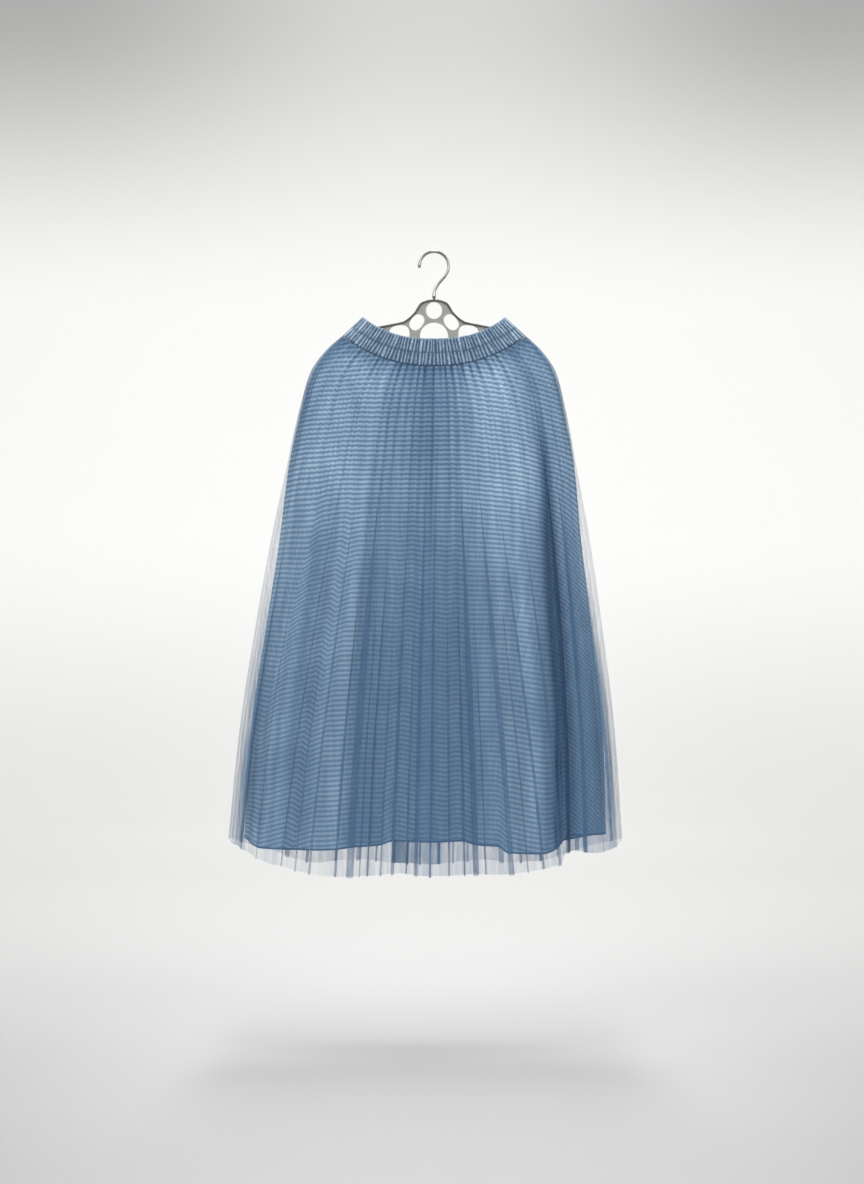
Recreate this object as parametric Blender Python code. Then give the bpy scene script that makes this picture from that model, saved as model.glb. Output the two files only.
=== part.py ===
"""Gathered net skirt over a striped lining, hanging empty from a pierced hanger.

Units are metres, +Z is up, the front of the skirt faces -Y and +X is to the viewer's right.
The origin is the underside of the hook's crown, where the hanger rests on whatever holds it.

Every cloth piece is a thin wall on a family of rings. A ring is an ellipse in plan whose height
rises towards its two ends, because the waist sags between the hanger's arms. A bearing of 0
degrees is the centre front, 90 is the wearer's left side seam at +X, and 180 the centre back.
"""

import math
from collections import namedtuple

import bmesh
import bpy
import numpy as np

# Which way each side of the skirt faces along Y
FACING = {"front": -1.0, "back": 1.0}

# Cloth and seams
WALL = 0.0010
BAND_WALL = 0.0032
SEAM_GAP = 0.0003
HALF_SEAM_GAP = SEAM_GAP / 2

# Waistband: one ruched strip round the hanger's arms
BAND_TOP_HALF_WIDTH = 0.1150
BAND_TOP_HALF_DEPTH = 0.0245
BAND_TOP_MIDDLE_Z = -0.1385
BAND_TOP_END_Z = -0.1030
BAND_FOOT_HALF_WIDTH = 0.1470
BAND_FOOT_HALF_DEPTH = 0.0285
BAND_FOOT_MIDDLE_Z = -0.1822
BAND_FOOT_END_Z = -0.1322
BAND_TOP_SAG_POWER = 2.5
BAND_FOOT_SAG_POWER = 2.3
BAND_GATHERS = 96
GATHER_HEIGHT = 0.0016
STITCH_DEPTH = 0.0010

# Hems
NET_HEM_SAG_POWER = 4.0
LINING_HEM_SAG_POWER = 3.0
HEM_LEAN = -0.0140
HEM_TIP = 0.0035

# Share of the air between net and lining that a net crease may take, and how much of its
# depth at the hem a crease already has at the waist
CREASE_SHARE = 0.36
CREASE_AT_WAIST = 0.20

# How many columns stand between two neighbouring gathers of a wall, and across a plain one
COLUMNS_PER_CREASE = 4
LINING_COLUMNS = 44

# Hook wire
WIRE_RADIUS = 0.0022
CROWN_RADIUS = 0.0234
CROWN_START_DEGREES = 186.0
CROWN_END_DEGREES = -28.0
CROWN_STEPS = 22
TIP_BULGE = 1.22
STEM_FLARE = 1.30
STEM_FOOT_Z = -0.0690

# Hanger body
WEB_THICKNESS = 0.0026
RIM_THICKNESS = 0.0060
RIM_WIDTH = 0.0034
CREST_Z = -0.0745
COLLAR_RADIUS = 0.0031
COLLAR_NECK_RADIUS = 0.0022
ARM_TIP_X = 0.1344
SOLID_TIP_FROM = 0.1200
HOLE_SEGMENTS = 28

# One row for each ring of a skirt wall.
# drop: share of the wall's length below the waist seam; half_width and half_depth: the ring's
# half axes in plan; end_z and middle_z: its height at the side seams and at the centre front.
Section = namedtuple("Section", "drop half_width half_depth end_z middle_z")
NET_SECTIONS = (
    Section(0.00, 0.1470, 0.0285, -0.1327, -0.1827),
    Section(0.04, 0.1724, 0.0400, -0.1560, -0.2140),
    Section(0.09, 0.1956, 0.0480, -0.1890, -0.2540),
    Section(0.16, 0.2115, 0.0550, -0.2450, -0.3100),
    Section(0.28, 0.2318, 0.0650, -0.3420, -0.4060),
    Section(0.42, 0.2545, 0.0780, -0.4560, -0.5190),
    Section(0.59, 0.2772, 0.0925, -0.5960, -0.6560),
    Section(0.79, 0.3000, 0.1090, -0.7620, -0.8170),
    Section(1.00, 0.3150, 0.1250, -0.9360, -0.9840),
)
LINING_SECTIONS = (
    Section(0.00, 0.1448, 0.0263, -0.1344, -0.1829),
    Section(0.04, 0.1684, 0.0335, -0.1560, -0.2130),
    Section(0.09, 0.1912, 0.0385, -0.1890, -0.2510),
    Section(0.16, 0.2076, 0.0430, -0.2450, -0.3040),
    Section(0.28, 0.2284, 0.0510, -0.3420, -0.3950),
    Section(0.42, 0.2410, 0.0600, -0.4560, -0.5010),
    Section(0.59, 0.2600, 0.0710, -0.5960, -0.6290),
    Section(0.79, 0.2810, 0.0840, -0.7620, -0.7800),
    Section(1.00, 0.2895, 0.0970, -0.9340, -0.9390),
)

# Large folds that the lining and the net share: one row for each trough.
# waist and hem: the trough's place across the panel, from -1 at one side seam to 1 at the other;
# depth at the hem; spread: half its width in degrees of bearing; start: the drop where it begins.
Trough = namedtuple("Trough", "waist hem depth spread start")
FRONT_TROUGHS = (
    Trough(-0.70, -0.72, 0.0070, 7.0, 0.20),
    Trough(-0.34, -0.38, 0.0110, 6.5, 0.15),
    Trough(-0.08, -0.10, 0.0060, 6.0, 0.30),
    Trough(0.20, 0.27, 0.0070, 6.5, 0.20),
    Trough(0.44, 0.56, 0.0090, 7.0, 0.15),
    Trough(0.84, 0.76, 0.0200, 7.5, 0.08),
)
BACK_TROUGHS = (
    Trough(-0.80, -0.76, 0.0150, 7.5, 0.10),
    Trough(-0.47, -0.52, 0.0080, 6.5, 0.20),
    Trough(-0.16, -0.20, 0.0100, 6.5, 0.15),
    Trough(0.12, 0.10, 0.0060, 6.0, 0.30),
    Trough(0.38, 0.44, 0.0100, 6.5, 0.15),
    Trough(0.72, 0.74, 0.0070, 7.0, 0.20),
)

# Creases of the net alone, between its gathers: place at the waist and at the hem as above,
# and depth at the hem.
Crease = namedtuple("Crease", "waist hem depth")
NET_FRONT_CREASES = (
    Crease(-0.955, -0.965, 0.0060),
    Crease(-0.860, -0.845, 0.0090),
    Crease(-0.730, -0.735, 0.0120),
    Crease(-0.605, -0.600, 0.0105),
    Crease(-0.465, -0.460, 0.0083),
    Crease(-0.350, -0.380, 0.0135),
    Crease(-0.255, -0.300, 0.0105),
    Crease(-0.175, -0.215, 0.0083),
    Crease(-0.105, -0.125, 0.0083),
    Crease(-0.035, -0.040, 0.0090),
    Crease(0.035, 0.050, 0.0090),
    Crease(0.100, 0.130, 0.0083),
    Crease(0.165, 0.200, 0.0083),
    Crease(0.235, 0.275, 0.0105),
    Crease(0.305, 0.345, 0.0075),
    Crease(0.380, 0.430, 0.0120),
    Crease(0.470, 0.560, 0.0135),
    Crease(0.590, 0.660, 0.0097),
    Crease(0.820, 0.760, 0.0150),
    Crease(0.900, 0.860, 0.0090),
    Crease(0.955, 0.955, 0.0067),
)
NET_BACK_CREASES = (
    Crease(-0.955, -0.960, 0.0067),
    Crease(-0.880, -0.870, 0.0090),
    Crease(-0.780, -0.765, 0.0135),
    Crease(-0.660, -0.640, 0.0090),
    Crease(-0.540, -0.530, 0.0120),
    Crease(-0.430, -0.440, 0.0083),
    Crease(-0.330, -0.360, 0.0097),
    Crease(-0.245, -0.280, 0.0083),
    Crease(-0.160, -0.200, 0.0128),
    Crease(-0.080, -0.105, 0.0083),
    Crease(-0.005, -0.015, 0.0083),
    Crease(0.070, 0.080, 0.0097),
    Crease(0.150, 0.170, 0.0075),
    Crease(0.230, 0.255, 0.0090),
    Crease(0.320, 0.345, 0.0083),
    Crease(0.410, 0.440, 0.0128),
    Crease(0.520, 0.550, 0.0090),
    Crease(0.640, 0.650, 0.0097),
    Crease(0.760, 0.750, 0.0105),
    Crease(0.870, 0.860, 0.0083),
    Crease(0.955, 0.960, 0.0060),
)

# Half of the hanger's outline, from the crest down to the arm's tip and back under it.
OutlinePoint = namedtuple("OutlinePoint", "x z")
HANGER_OUTLINE = (
    OutlinePoint(0.0000, CREST_Z),
    OutlinePoint(0.0060, -0.0748),
    OutlinePoint(0.0120, -0.0760),
    OutlinePoint(0.0180, -0.0782),
    OutlinePoint(0.0222, -0.0808),
    OutlinePoint(0.0255, -0.0852),
    OutlinePoint(0.0305, -0.0942),
    OutlinePoint(0.0362, -0.1003),
    OutlinePoint(0.0424, -0.1056),
    OutlinePoint(0.0490, -0.1098),
    OutlinePoint(0.0580, -0.1121),
    OutlinePoint(0.0680, -0.1139),
    OutlinePoint(0.0880, -0.1178),
    OutlinePoint(0.1120, -0.1222),
    OutlinePoint(0.1310, -0.1256),
    OutlinePoint(ARM_TIP_X - 0.0012, -0.1272),
    OutlinePoint(ARM_TIP_X, -0.1298),
    OutlinePoint(ARM_TIP_X - 0.0014, -0.1322),
    OutlinePoint(0.1300, -0.1334),
    OutlinePoint(0.1120, -0.1342),
    OutlinePoint(0.0930, -0.1366),
    OutlinePoint(0.0770, -0.1440),
    OutlinePoint(0.0600, -0.1492),
    OutlinePoint(0.0430, -0.1545),
    OutlinePoint(0.0290, -0.1600),
    OutlinePoint(0.0140, -0.1638),
    OutlinePoint(0.0000, -0.1650),
)

# Holes through the hanger: centre, half sizes along the hole's own axes, its tilt, and how
# square it is, where 2 is an ellipse. A hole off the centre line is cut on both sides.
Hole = namedtuple("Hole", "x z half_long half_short tilt_degrees squareness")
HANGER_HOLES = (
    Hole(0.0000, -0.0920, 0.0128, 0.0136, 0.0, 2.0),
    Hole(0.0275, -0.1108, 0.0138, 0.0101, -52.0, 2.3),
    Hole(0.0000, -0.1335, 0.0226, 0.0222, 0.0, 2.0),
    Hole(0.0552, -0.1285, 0.0162, 0.0130, -8.0, 2.5),
)

# The wire below the crown, down to the collar
StemPoint = namedtuple("StemPoint", "x z")
STEM_POINTS = (
    StemPoint(0.0180, -0.0366),
    StemPoint(0.0133, -0.0424),
    StemPoint(0.0068, -0.0500),
    StemPoint(0.0028, -0.0566),
    StemPoint(0.0006, -0.0628),
    StemPoint(0.0000, -0.0660),
    StemPoint(0.0000, STEM_FOOT_Z),
)

# Base colour, roughness and metallic value of each finish
Finish = namedtuple("Finish", "colour roughness metallic")
FINISHES = {
    "striped_cloth": Finish((0.23, 0.40, 0.62), 0.85, 0.0),
    "net": Finish((0.14, 0.27, 0.50), 0.80, 0.0),
    "ruched_cloth": Finish((0.28, 0.44, 0.63), 0.85, 0.0),
    "hook_wire": Finish((0.42, 0.42, 0.40), 0.30, 1.0),
    "hanger_metal": Finish((0.30, 0.31, 0.29), 0.45, 0.8),
}


def clear_scene():
    """Remove every object that the file opened with."""
    for existing in list(bpy.data.objects):
        bpy.data.objects.remove(existing, do_unlink=True)


def finish_material(name):
    """Return a Principled material made from one row of FINISHES."""
    finish = FINISHES[name]
    material = bpy.data.materials.new(name)
    material.use_nodes = True
    shader = material.node_tree.nodes["Principled BSDF"]
    shader.inputs["Base Color"].default_value = (*finish.colour, 1.0)
    shader.inputs["Roughness"].default_value = finish.roughness
    shader.inputs["Metallic"].default_value = finish.metallic
    return material


def add_mesh_object(name, vertices, faces, material):
    """Make one smooth-shaded mesh object and link it to the scene."""
    mesh = bpy.data.meshes.new(name)
    mesh.from_pydata([tuple(vertex) for vertex in vertices], [], faces)
    mesh.materials.append(material)
    mesh.shade_smooth()
    mesh.set_sharp_from_angle(angle=math.radians(50))
    made = bpy.data.objects.new(name, mesh)
    bpy.context.scene.collection.objects.link(made)
    return made


def smooth_lookup(keys, values, at):
    """Read a table between its rows with a curve through them that never overshoots."""
    keys = np.asarray(keys, float)
    values = np.asarray(values, float)
    steps = np.diff(keys)
    slopes = np.diff(values) / steps
    tangents = np.empty_like(values)
    tangents[0] = slopes[0]
    tangents[-1] = slopes[-1]
    for row in range(1, len(keys) - 1):
        before, after = slopes[row - 1], slopes[row]
        same_sign = before * after > 0
        tangents[row] = 2 * before * after / (before + after) if same_sign else 0.0
    row = np.clip(np.searchsorted(keys, at, side="right") - 1, 0, len(keys) - 2)
    share = (at - keys[row]) / steps[row]
    squared, cubed = share**2, share**3
    return (
        (2 * cubed - 3 * squared + 1) * values[row]
        + (cubed - 2 * squared + share) * steps[row] * tangents[row]
        + (3 * squared - 2 * cubed) * values[row + 1]
        + (cubed - squared) * steps[row] * tangents[row + 1]
    )


class SkirtForm:
    """The rings of one skirt layer, before its gathers."""

    def __init__(self, sections, hem_sag_power, troughs_by_side):
        self.sections = sections
        self.hem_sag_power = hem_sag_power
        self.troughs_by_side = troughs_by_side

    def read(self, column, drop):
        """Read one column of the section table at a drop."""
        keys = [section.drop for section in self.sections]
        values = [getattr(section, column) for section in self.sections]
        return float(smooth_lookup(keys, values, drop))

    def ring(self, drop):
        """Return the ring's half axes, its two heights and its sag power."""
        power = BAND_FOOT_SAG_POWER + (self.hem_sag_power - BAND_FOOT_SAG_POWER) * drop
        return (
            self.read("half_width", drop),
            self.read("half_depth", drop),
            self.read("end_z", drop),
            self.read("middle_z", drop),
            power,
        )

    def trough_depth(self, side, across, drop):
        """Add up the large folds at a place across one side of the skirt."""
        total = 0.0
        for trough in self.troughs_by_side[side]:
            if drop <= trough.start:
                continue
            grown = (drop - trough.start) / (1 - trough.start)
            grown = grown * (2 - grown)
            place = trough.waist + (trough.hem - trough.waist) * drop
            apart = math.degrees(across - math.asin(place)) / trough.spread
            total += trough.depth * grown * math.exp(-apart * apart)
        return total

    def point(self, side, across, drop, outward):
        """Place a point.

        side is "front" or "back", across the bearing from that side's middle in radians,
        and outward the distance from the plain ring.
        """
        half_width, half_depth, end_z, middle_z, power = self.ring(drop)
        facing = FACING[side]
        place = math.sin(across)
        outward -= self.trough_depth(side, across, drop)
        normal = np.array([place * half_depth, facing * math.cos(across) * half_width])
        normal /= np.linalg.norm(normal)
        x = HEM_LEAN * drop + half_width * place + normal[0] * outward
        y = facing * (half_depth * math.cos(across) + HALF_SEAM_GAP) + normal[1] * outward
        z = middle_z + (end_z - middle_z) * abs(place) ** power
        return np.array([x, y, z])


def clearance(drop, across):
    """Return the air between the plain rings of the net and of the lining, less one wall."""
    width_gap = NET_FORM.read("half_width", drop) - LINING_FORM.read("half_width", drop)
    depth_gap = NET_FORM.read("half_depth", drop) - LINING_FORM.read("half_depth", drop)
    end_share = abs(math.sin(across)) ** 4
    return width_gap * end_share + depth_gap * (1 - end_share) - WALL


def crease_columns(creases):
    """List a net panel's columns as (place at the waist, place at the hem, depth, wave).

    wave runs from -1 at a crease to 1 at the crest between two, and is 0 at the side seams.
    """
    keys = [(-1.0, -1.0, creases[0].depth, 0.0)]
    for number, crease in enumerate(creases):
        keys.append((crease.waist, crease.hem, crease.depth, -1.0))
        if number + 1 < len(creases):
            following = creases[number + 1]
            waist = (crease.waist + following.waist) / 2
            hem = (crease.hem + following.hem) / 2
            keys.append((waist, hem, (crease.depth + following.depth) / 2, 1.0))
    keys.append((1.0, 1.0, creases[-1].depth, 0.0))
    columns = []
    between = COLUMNS_PER_CREASE // 2
    for start, end in zip(keys[:-1], keys[1:]):
        for step in range(between):
            share = step / between
            columns.append(tuple(a + (b - a) * share for a, b in zip(start, end)))
    columns.append(keys[-1])
    return columns


def net_points(side, creases):
    """Return the net panel's outer points, a list of columns from one side seam to the other."""
    grid = []
    for waist, hem, depth, wave in crease_columns(creases):
        column = []
        for section in NET_SECTIONS:
            drop = section.drop
            place = waist + (hem - waist) * drop
            across = math.asin(max(-1.0, min(1.0, place)))
            room = max(0.0001, CREASE_SHARE * clearance(drop, across) - SEAM_GAP)
            wanted = depth * (CREASE_AT_WAIST + (1 - CREASE_AT_WAIST) * drop)
            height = room * (1 - math.exp(-wanted / room))
            column.append(NET_FORM.point(side, across, drop, wave * height))
        column[-1][2] += wave * HEM_TIP
        grid.append(column)
    return np.array(grid)


def lining_points(side):
    """Return the lining panel's outer points, even columns between the side seams."""
    grid = []
    for number in range(LINING_COLUMNS + 1):
        across = math.radians(-90 + 180 * number / LINING_COLUMNS)
        column = [LINING_FORM.point(side, across, section.drop, 0.0) for section in LINING_SECTIONS]
        grid.append(column)
    return np.array(grid)


def grid_normals(points, facing):
    """Return the outward unit normal at each point of an open grid of columns."""
    along = np.gradient(points, axis=0)
    down = np.gradient(points, axis=1)
    normals = np.cross(along, down) * facing
    return normals / np.linalg.norm(normals, axis=2, keepdims=True)


def open_wall(name, outer, side, thickness, material):
    """Close a grid of outer points into a wall with four edges."""
    normals = grid_normals(outer, FACING[side])
    for edge in (0, -1):
        normals[edge, :, 1] = 0.0
        normals[edge] /= np.linalg.norm(normals[edge], axis=1, keepdims=True)
    inner = outer - normals * thickness
    columns, rows = outer.shape[:2]
    vertices = list(outer.reshape(-1, 3)) + list(inner.reshape(-1, 3))
    inner_start = columns * rows

    def outer_at(column, row):
        return column * rows + row

    def inner_at(column, row):
        return inner_start + column * rows + row

    faces = []
    for column in range(columns - 1):
        for row in range(rows - 1):
            corners = ((column, row), (column, row + 1), (column + 1, row + 1), (column + 1, row))
            faces.append([outer_at(*corner) for corner in corners])
            faces.append([inner_at(*corner) for corner in reversed(corners)])
        faces.append([outer_at(column, 0), outer_at(column + 1, 0),
                      inner_at(column + 1, 0), inner_at(column, 0)])
        faces.append([outer_at(column + 1, rows - 1), outer_at(column, rows - 1),
                      inner_at(column, rows - 1), inner_at(column + 1, rows - 1)])
    for row in range(rows - 1):
        faces.append([outer_at(0, row + 1), outer_at(0, row), inner_at(0, row), inner_at(0, row + 1)])
        faces.append([outer_at(columns - 1, row), outer_at(columns - 1, row + 1),
                      inner_at(columns - 1, row + 1), inner_at(columns - 1, row)])
    if side == "back":
        faces = [list(reversed(face)) for face in faces]
    return add_mesh_object(name, vertices, faces, material)


def band_point(bearing, height, outward):
    """Place a point of the waistband: height is 0 at its foot and 1 at its top edge."""
    half_width = BAND_FOOT_HALF_WIDTH + (BAND_TOP_HALF_WIDTH - BAND_FOOT_HALF_WIDTH) * height
    half_depth = BAND_FOOT_HALF_DEPTH + (BAND_TOP_HALF_DEPTH - BAND_FOOT_HALF_DEPTH) * height
    place = math.sin(bearing)
    foot_rise = (BAND_FOOT_END_Z - BAND_FOOT_MIDDLE_Z) * abs(place) ** BAND_FOOT_SAG_POWER
    top_rise = (BAND_TOP_END_Z - BAND_TOP_MIDDLE_Z) * abs(place) ** BAND_TOP_SAG_POWER
    foot_z = BAND_FOOT_MIDDLE_Z + foot_rise
    top_z = BAND_TOP_MIDDLE_Z + top_rise
    normal = np.array([place * half_depth, -math.cos(bearing) * half_width])
    normal /= np.linalg.norm(normal)
    x = half_width * place + normal[0] * outward
    y = -half_depth * math.cos(bearing) + normal[1] * outward
    return (x, y, foot_z + (top_z - foot_z) * height)


def build_waistband(material):
    """Build the waistband: ruched outer face, plain inner face."""
    # height up the band, and how far its gathers stand out there
    profile = (
        (0.00, 0.35),
        (0.14, 1.00),
        (0.42, 0.90),
        (0.50, 0.10),
        (0.58, 0.90),
        (0.88, 1.00),
        (1.00, 0.35),
    )
    outer_columns = 2 * BAND_GATHERS
    vertices = []
    faces = []
    for height, fullness in profile:
        stitched = STITCH_DEPTH if abs(height - 0.5) < 0.01 else 0.0
        for column in range(outer_columns):
            bearing = 2 * math.pi * column / outer_columns
            crest = GATHER_HEIGHT * fullness if column % 2 else 0.0
            vertices.append(band_point(bearing, height, crest - GATHER_HEIGHT - stitched))
    inner_rows = (profile[0][0], profile[-1][0])
    inner_start = len(vertices)
    for height in inner_rows:
        for column in range(BAND_GATHERS):
            bearing = 2 * math.pi * column / BAND_GATHERS
            vertices.append(band_point(bearing, height, -BAND_WALL))

    def outer_at(row, column):
        return row * outer_columns + column % outer_columns

    def inner_at(row, column):
        return inner_start + row * BAND_GATHERS + column % BAND_GATHERS

    for row in range(len(profile) - 1):
        for column in range(outer_columns):
            faces.append([outer_at(row, column), outer_at(row, column + 1),
                          outer_at(row + 1, column + 1), outer_at(row + 1, column)])
    last = len(profile) - 1
    for gather in range(BAND_GATHERS):
        column = 2 * gather
        faces.append([inner_at(0, gather + 1), inner_at(0, gather), inner_at(1, gather), inner_at(1, gather + 1)])
        faces.append([outer_at(0, column + 1), outer_at(0, column), inner_at(0, gather)])
        faces.append([outer_at(0, column + 1), inner_at(0, gather), inner_at(0, gather + 1)])
        faces.append([outer_at(0, column + 2), outer_at(0, column + 1), inner_at(0, gather + 1)])
        faces.append([outer_at(last, column), outer_at(last, column + 1), inner_at(1, gather)])
        faces.append([outer_at(last, column + 1), inner_at(1, gather + 1), inner_at(1, gather)])
        faces.append([outer_at(last, column + 1), outer_at(last, column + 2), inner_at(1, gather + 1)])
    return add_mesh_object("waistband", vertices, faces, material)


def stem_curve():
    """Read a smooth line through the stem's points, from the end of the crown down."""
    end = math.radians(CROWN_END_DEGREES)
    start = (CROWN_RADIUS * math.cos(end), crown_centre_z() + CROWN_RADIUS * math.sin(end))
    knots = [start] + [(point.x, point.z) for point in STEM_POINTS]
    keys = [0.0]
    for before, after in zip(knots[:-1], knots[1:]):
        keys.append(keys[-1] + math.dist(before, after))
    places = np.linspace(0, keys[-1], 14)[1:]
    xs = [knot[0] for knot in knots]
    zs = [knot[1] for knot in knots]
    return [(float(smooth_lookup(keys, xs, at)), float(smooth_lookup(keys, zs, at))) for at in places]


def crown_centre_z():
    """Return the height of the crown's centre: the wire's underside is at the origin."""
    return WIRE_RADIUS - CROWN_RADIUS


def build_hook(material):
    """Bend the hook from one wire: a round crown with a bulged tip, then the stem."""
    route = []
    for step in range(CROWN_STEPS + 1):
        share = step / CROWN_STEPS
        angle = math.radians(CROWN_START_DEGREES + (CROWN_END_DEGREES - CROWN_START_DEGREES) * share)
        x = CROWN_RADIUS * math.cos(angle)
        z = crown_centre_z() + CROWN_RADIUS * math.sin(angle)
        bulge = TIP_BULGE if 0 < step < 3 else 1.0
        route.append((x, z, bulge if step else 0.75))
    stem = stem_curve()
    for step, (x, z) in enumerate(stem):
        remaining = len(stem) - 1 - step
        route.append((x, z, STEM_FLARE - 0.1 * remaining if remaining < 3 else 1.0))
    curve = bpy.data.curves.new("hanger_hook", "CURVE")
    curve.dimensions = "3D"
    curve.bevel_depth = WIRE_RADIUS
    curve.bevel_resolution = 3
    curve.use_fill_caps = True
    spline = curve.splines.new("POLY")
    spline.points.add(len(route) - 1)
    for point, (x, z, thickness) in zip(spline.points, route):
        point.co = (x, 0, z, 1)
        point.radius = thickness
    curve.materials.append(material)
    hook = bpy.data.objects.new("hanger_hook", curve)
    bpy.context.scene.collection.objects.link(hook)
    return hook


def build_collar(material):
    """Turn the collar: a short ferrule that stands between the wire and the crest."""
    top = STEM_FOOT_Z - SEAM_GAP
    foot = CREST_Z + SEAM_GAP
    profile = (
        (COLLAR_RADIUS, top),
        (COLLAR_RADIUS, top - 0.0018),
        (COLLAR_NECK_RADIUS, top - 0.0026),
        (COLLAR_NECK_RADIUS, foot),
    )
    segments = 16
    vertices = []
    for radius, z in profile:
        for segment in range(segments):
            angle = 2 * math.pi * segment / segments
            vertices.append((radius * math.cos(angle), radius * math.sin(angle), z))
    faces = [list(range(segments))]
    for row in range(len(profile) - 1):
        for segment in range(segments):
            following = (segment + 1) % segments
            faces.append([row * segments + segment, (row + 1) * segments + segment,
                          (row + 1) * segments + following, row * segments + following])
    faces.append([(len(profile) - 1) * segments + segment for segment in reversed(range(segments))])
    return add_mesh_object("hanger_collar", vertices, faces, material)


def hanger_outline():
    """Return the whole outline, clockwise from the crest seen from the front."""
    right = [(point.x, point.z) for point in HANGER_OUTLINE]
    left = [(-x, z) for x, z in reversed(right[1:-1])]
    return right + left


def inset_outline(outline, distance, reach=ARM_TIP_X):
    """Move each point of a clockwise outline inwards by one distance.

    Points further out than reach are left out, so that the arms' tips stay solid.
    """
    count = len(outline)
    moved = []
    for index, (x, z) in enumerate(outline):
        if abs(x) > reach:
            continue
        before = outline[index - 1]
        after = outline[(index + 1) % count]
        along = np.array([after[0] - before[0], after[1] - before[1]])
        along /= np.linalg.norm(along)
        moved.append((x + along[1] * distance, z - along[0] * distance))
    return moved


def hole_outline(hole, side):
    """Return one hole's outline: a rounded oval, turned by its tilt."""
    turn = math.radians(hole.tilt_degrees)
    points = []
    for step in range(HOLE_SEGMENTS):
        angle = 2 * math.pi * step / HOLE_SEGMENTS
        power = 2 / hole.squareness
        along = hole.half_long * math.copysign(abs(math.cos(angle)) ** power, math.cos(angle))
        across = hole.half_short * math.copysign(abs(math.sin(angle)) ** power, math.sin(angle))
        x = hole.x + along * math.cos(turn) - across * math.sin(turn)
        z = hole.z + along * math.sin(turn) + across * math.cos(turn)
        points.append((side * x, z))
    return points


def flat_plate(name, outlines, thickness, material):
    """Fill closed outlines, holes among them, and give the sheet a thickness along Y."""
    curve = bpy.data.curves.new(name, "CURVE")
    curve.dimensions = "2D"
    curve.fill_mode = "BOTH"
    curve.extrude = thickness / 2
    for outline in outlines:
        spline = curve.splines.new("POLY")
        spline.points.add(len(outline) - 1)
        spline.use_cyclic_u = True
        for point, (x, z) in zip(spline.points, outline):
            point.co = (x, z, 0, 1)
    sheet = bpy.data.objects.new(name, curve)
    bpy.context.scene.collection.objects.link(sheet)
    bpy.context.view_layer.update()
    mesh = bpy.data.meshes.new_from_object(sheet)
    bpy.data.objects.remove(sheet, do_unlink=True)
    shape = bmesh.new()
    shape.from_mesh(mesh)
    bmesh.ops.remove_doubles(shape, verts=shape.verts, dist=0.00001)
    for vertex in shape.verts:
        x, z, y = vertex.co
        vertex.co = (x, -y, z)
    bmesh.ops.recalc_face_normals(shape, faces=shape.faces)
    shape.to_mesh(mesh)
    shape.free()
    mesh.materials.clear()
    mesh.materials.append(material)
    plate = bpy.data.objects.new(name, mesh)
    bpy.context.scene.collection.objects.link(plate)
    return plate


def build_hanger_body(material):
    """Build the pierced web, then weld its thick rim to it."""
    outline = hanger_outline()
    holes = []
    for hole in HANGER_HOLES:
        holes.append(hole_outline(hole, 1))
        if hole.x > 0:
            holes.append(hole_outline(hole, -1))
    body = flat_plate("hanger_body", [inset_outline(outline, RIM_WIDTH / 2)] + holes, WEB_THICKNESS, material)
    rim = flat_plate("rim_guide", [outline, inset_outline(outline, RIM_WIDTH, SOLID_TIP_FROM)], RIM_THICKNESS, material)
    rim.hide_render = True
    rim.display_type = "WIRE"
    weld = body.modifiers.new("weld_rim", "BOOLEAN")
    weld.operation = "UNION"
    weld.solver = "EXACT"
    weld.object = rim
    return body


NET_FORM = SkirtForm(
    NET_SECTIONS, NET_HEM_SAG_POWER, {"front": FRONT_TROUGHS, "back": BACK_TROUGHS}
)
LINING_FORM = SkirtForm(
    LINING_SECTIONS, LINING_HEM_SAG_POWER, {"front": FRONT_TROUGHS, "back": BACK_TROUGHS}
)


def main():
    """Build every piece of the skirt and its hanger."""
    clear_scene()
    striped = finish_material("striped_cloth")
    net = finish_material("net")
    build_waistband(finish_material("ruched_cloth"))
    for side, creases in (("front", NET_FRONT_CREASES), ("back", NET_BACK_CREASES)):
        open_wall(f"lining_{side}", lining_points(side), side, WALL, striped)
        open_wall(f"net_{side}", net_points(side, creases), side, WALL, net)
    hanger_metal = finish_material("hanger_metal")
    build_hook(finish_material("hook_wire"))
    build_collar(hanger_metal)
    build_hanger_body(hanger_metal)


main()
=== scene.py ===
"""Looks of a gathered net skirt over a striped lining, hanging from a pierced hanger.

Units are metres and +Z is up. The front of the skirt faces -Y, +X is to the viewer's right, and the
origin is the underside of the hook's crown. Cloth is placed by bearing (radians from the middle of
its own side) and by drop (share of the panel's length below the waist seam).
"""

import logging
import math
from dataclasses import dataclass
from enum import Enum
from typing import ClassVar, Iterable, NamedTuple, Sequence

import bpy
import numpy as np
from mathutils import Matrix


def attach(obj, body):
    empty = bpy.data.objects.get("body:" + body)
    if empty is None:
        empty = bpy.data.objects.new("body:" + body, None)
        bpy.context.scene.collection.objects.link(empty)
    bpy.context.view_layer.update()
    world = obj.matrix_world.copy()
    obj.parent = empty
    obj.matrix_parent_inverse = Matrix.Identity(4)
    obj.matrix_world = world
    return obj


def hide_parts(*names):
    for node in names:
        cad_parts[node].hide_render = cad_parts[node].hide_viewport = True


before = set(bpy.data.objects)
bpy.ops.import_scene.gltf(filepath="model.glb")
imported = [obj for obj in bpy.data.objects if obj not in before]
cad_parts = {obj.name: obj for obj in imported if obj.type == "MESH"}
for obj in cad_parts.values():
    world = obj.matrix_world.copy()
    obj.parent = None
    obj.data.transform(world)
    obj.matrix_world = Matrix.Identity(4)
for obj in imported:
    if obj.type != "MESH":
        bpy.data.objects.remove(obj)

LOG = logging.getLogger("skirt")
BODY = "root"
QUARTER_TURN = math.pi / 2
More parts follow.
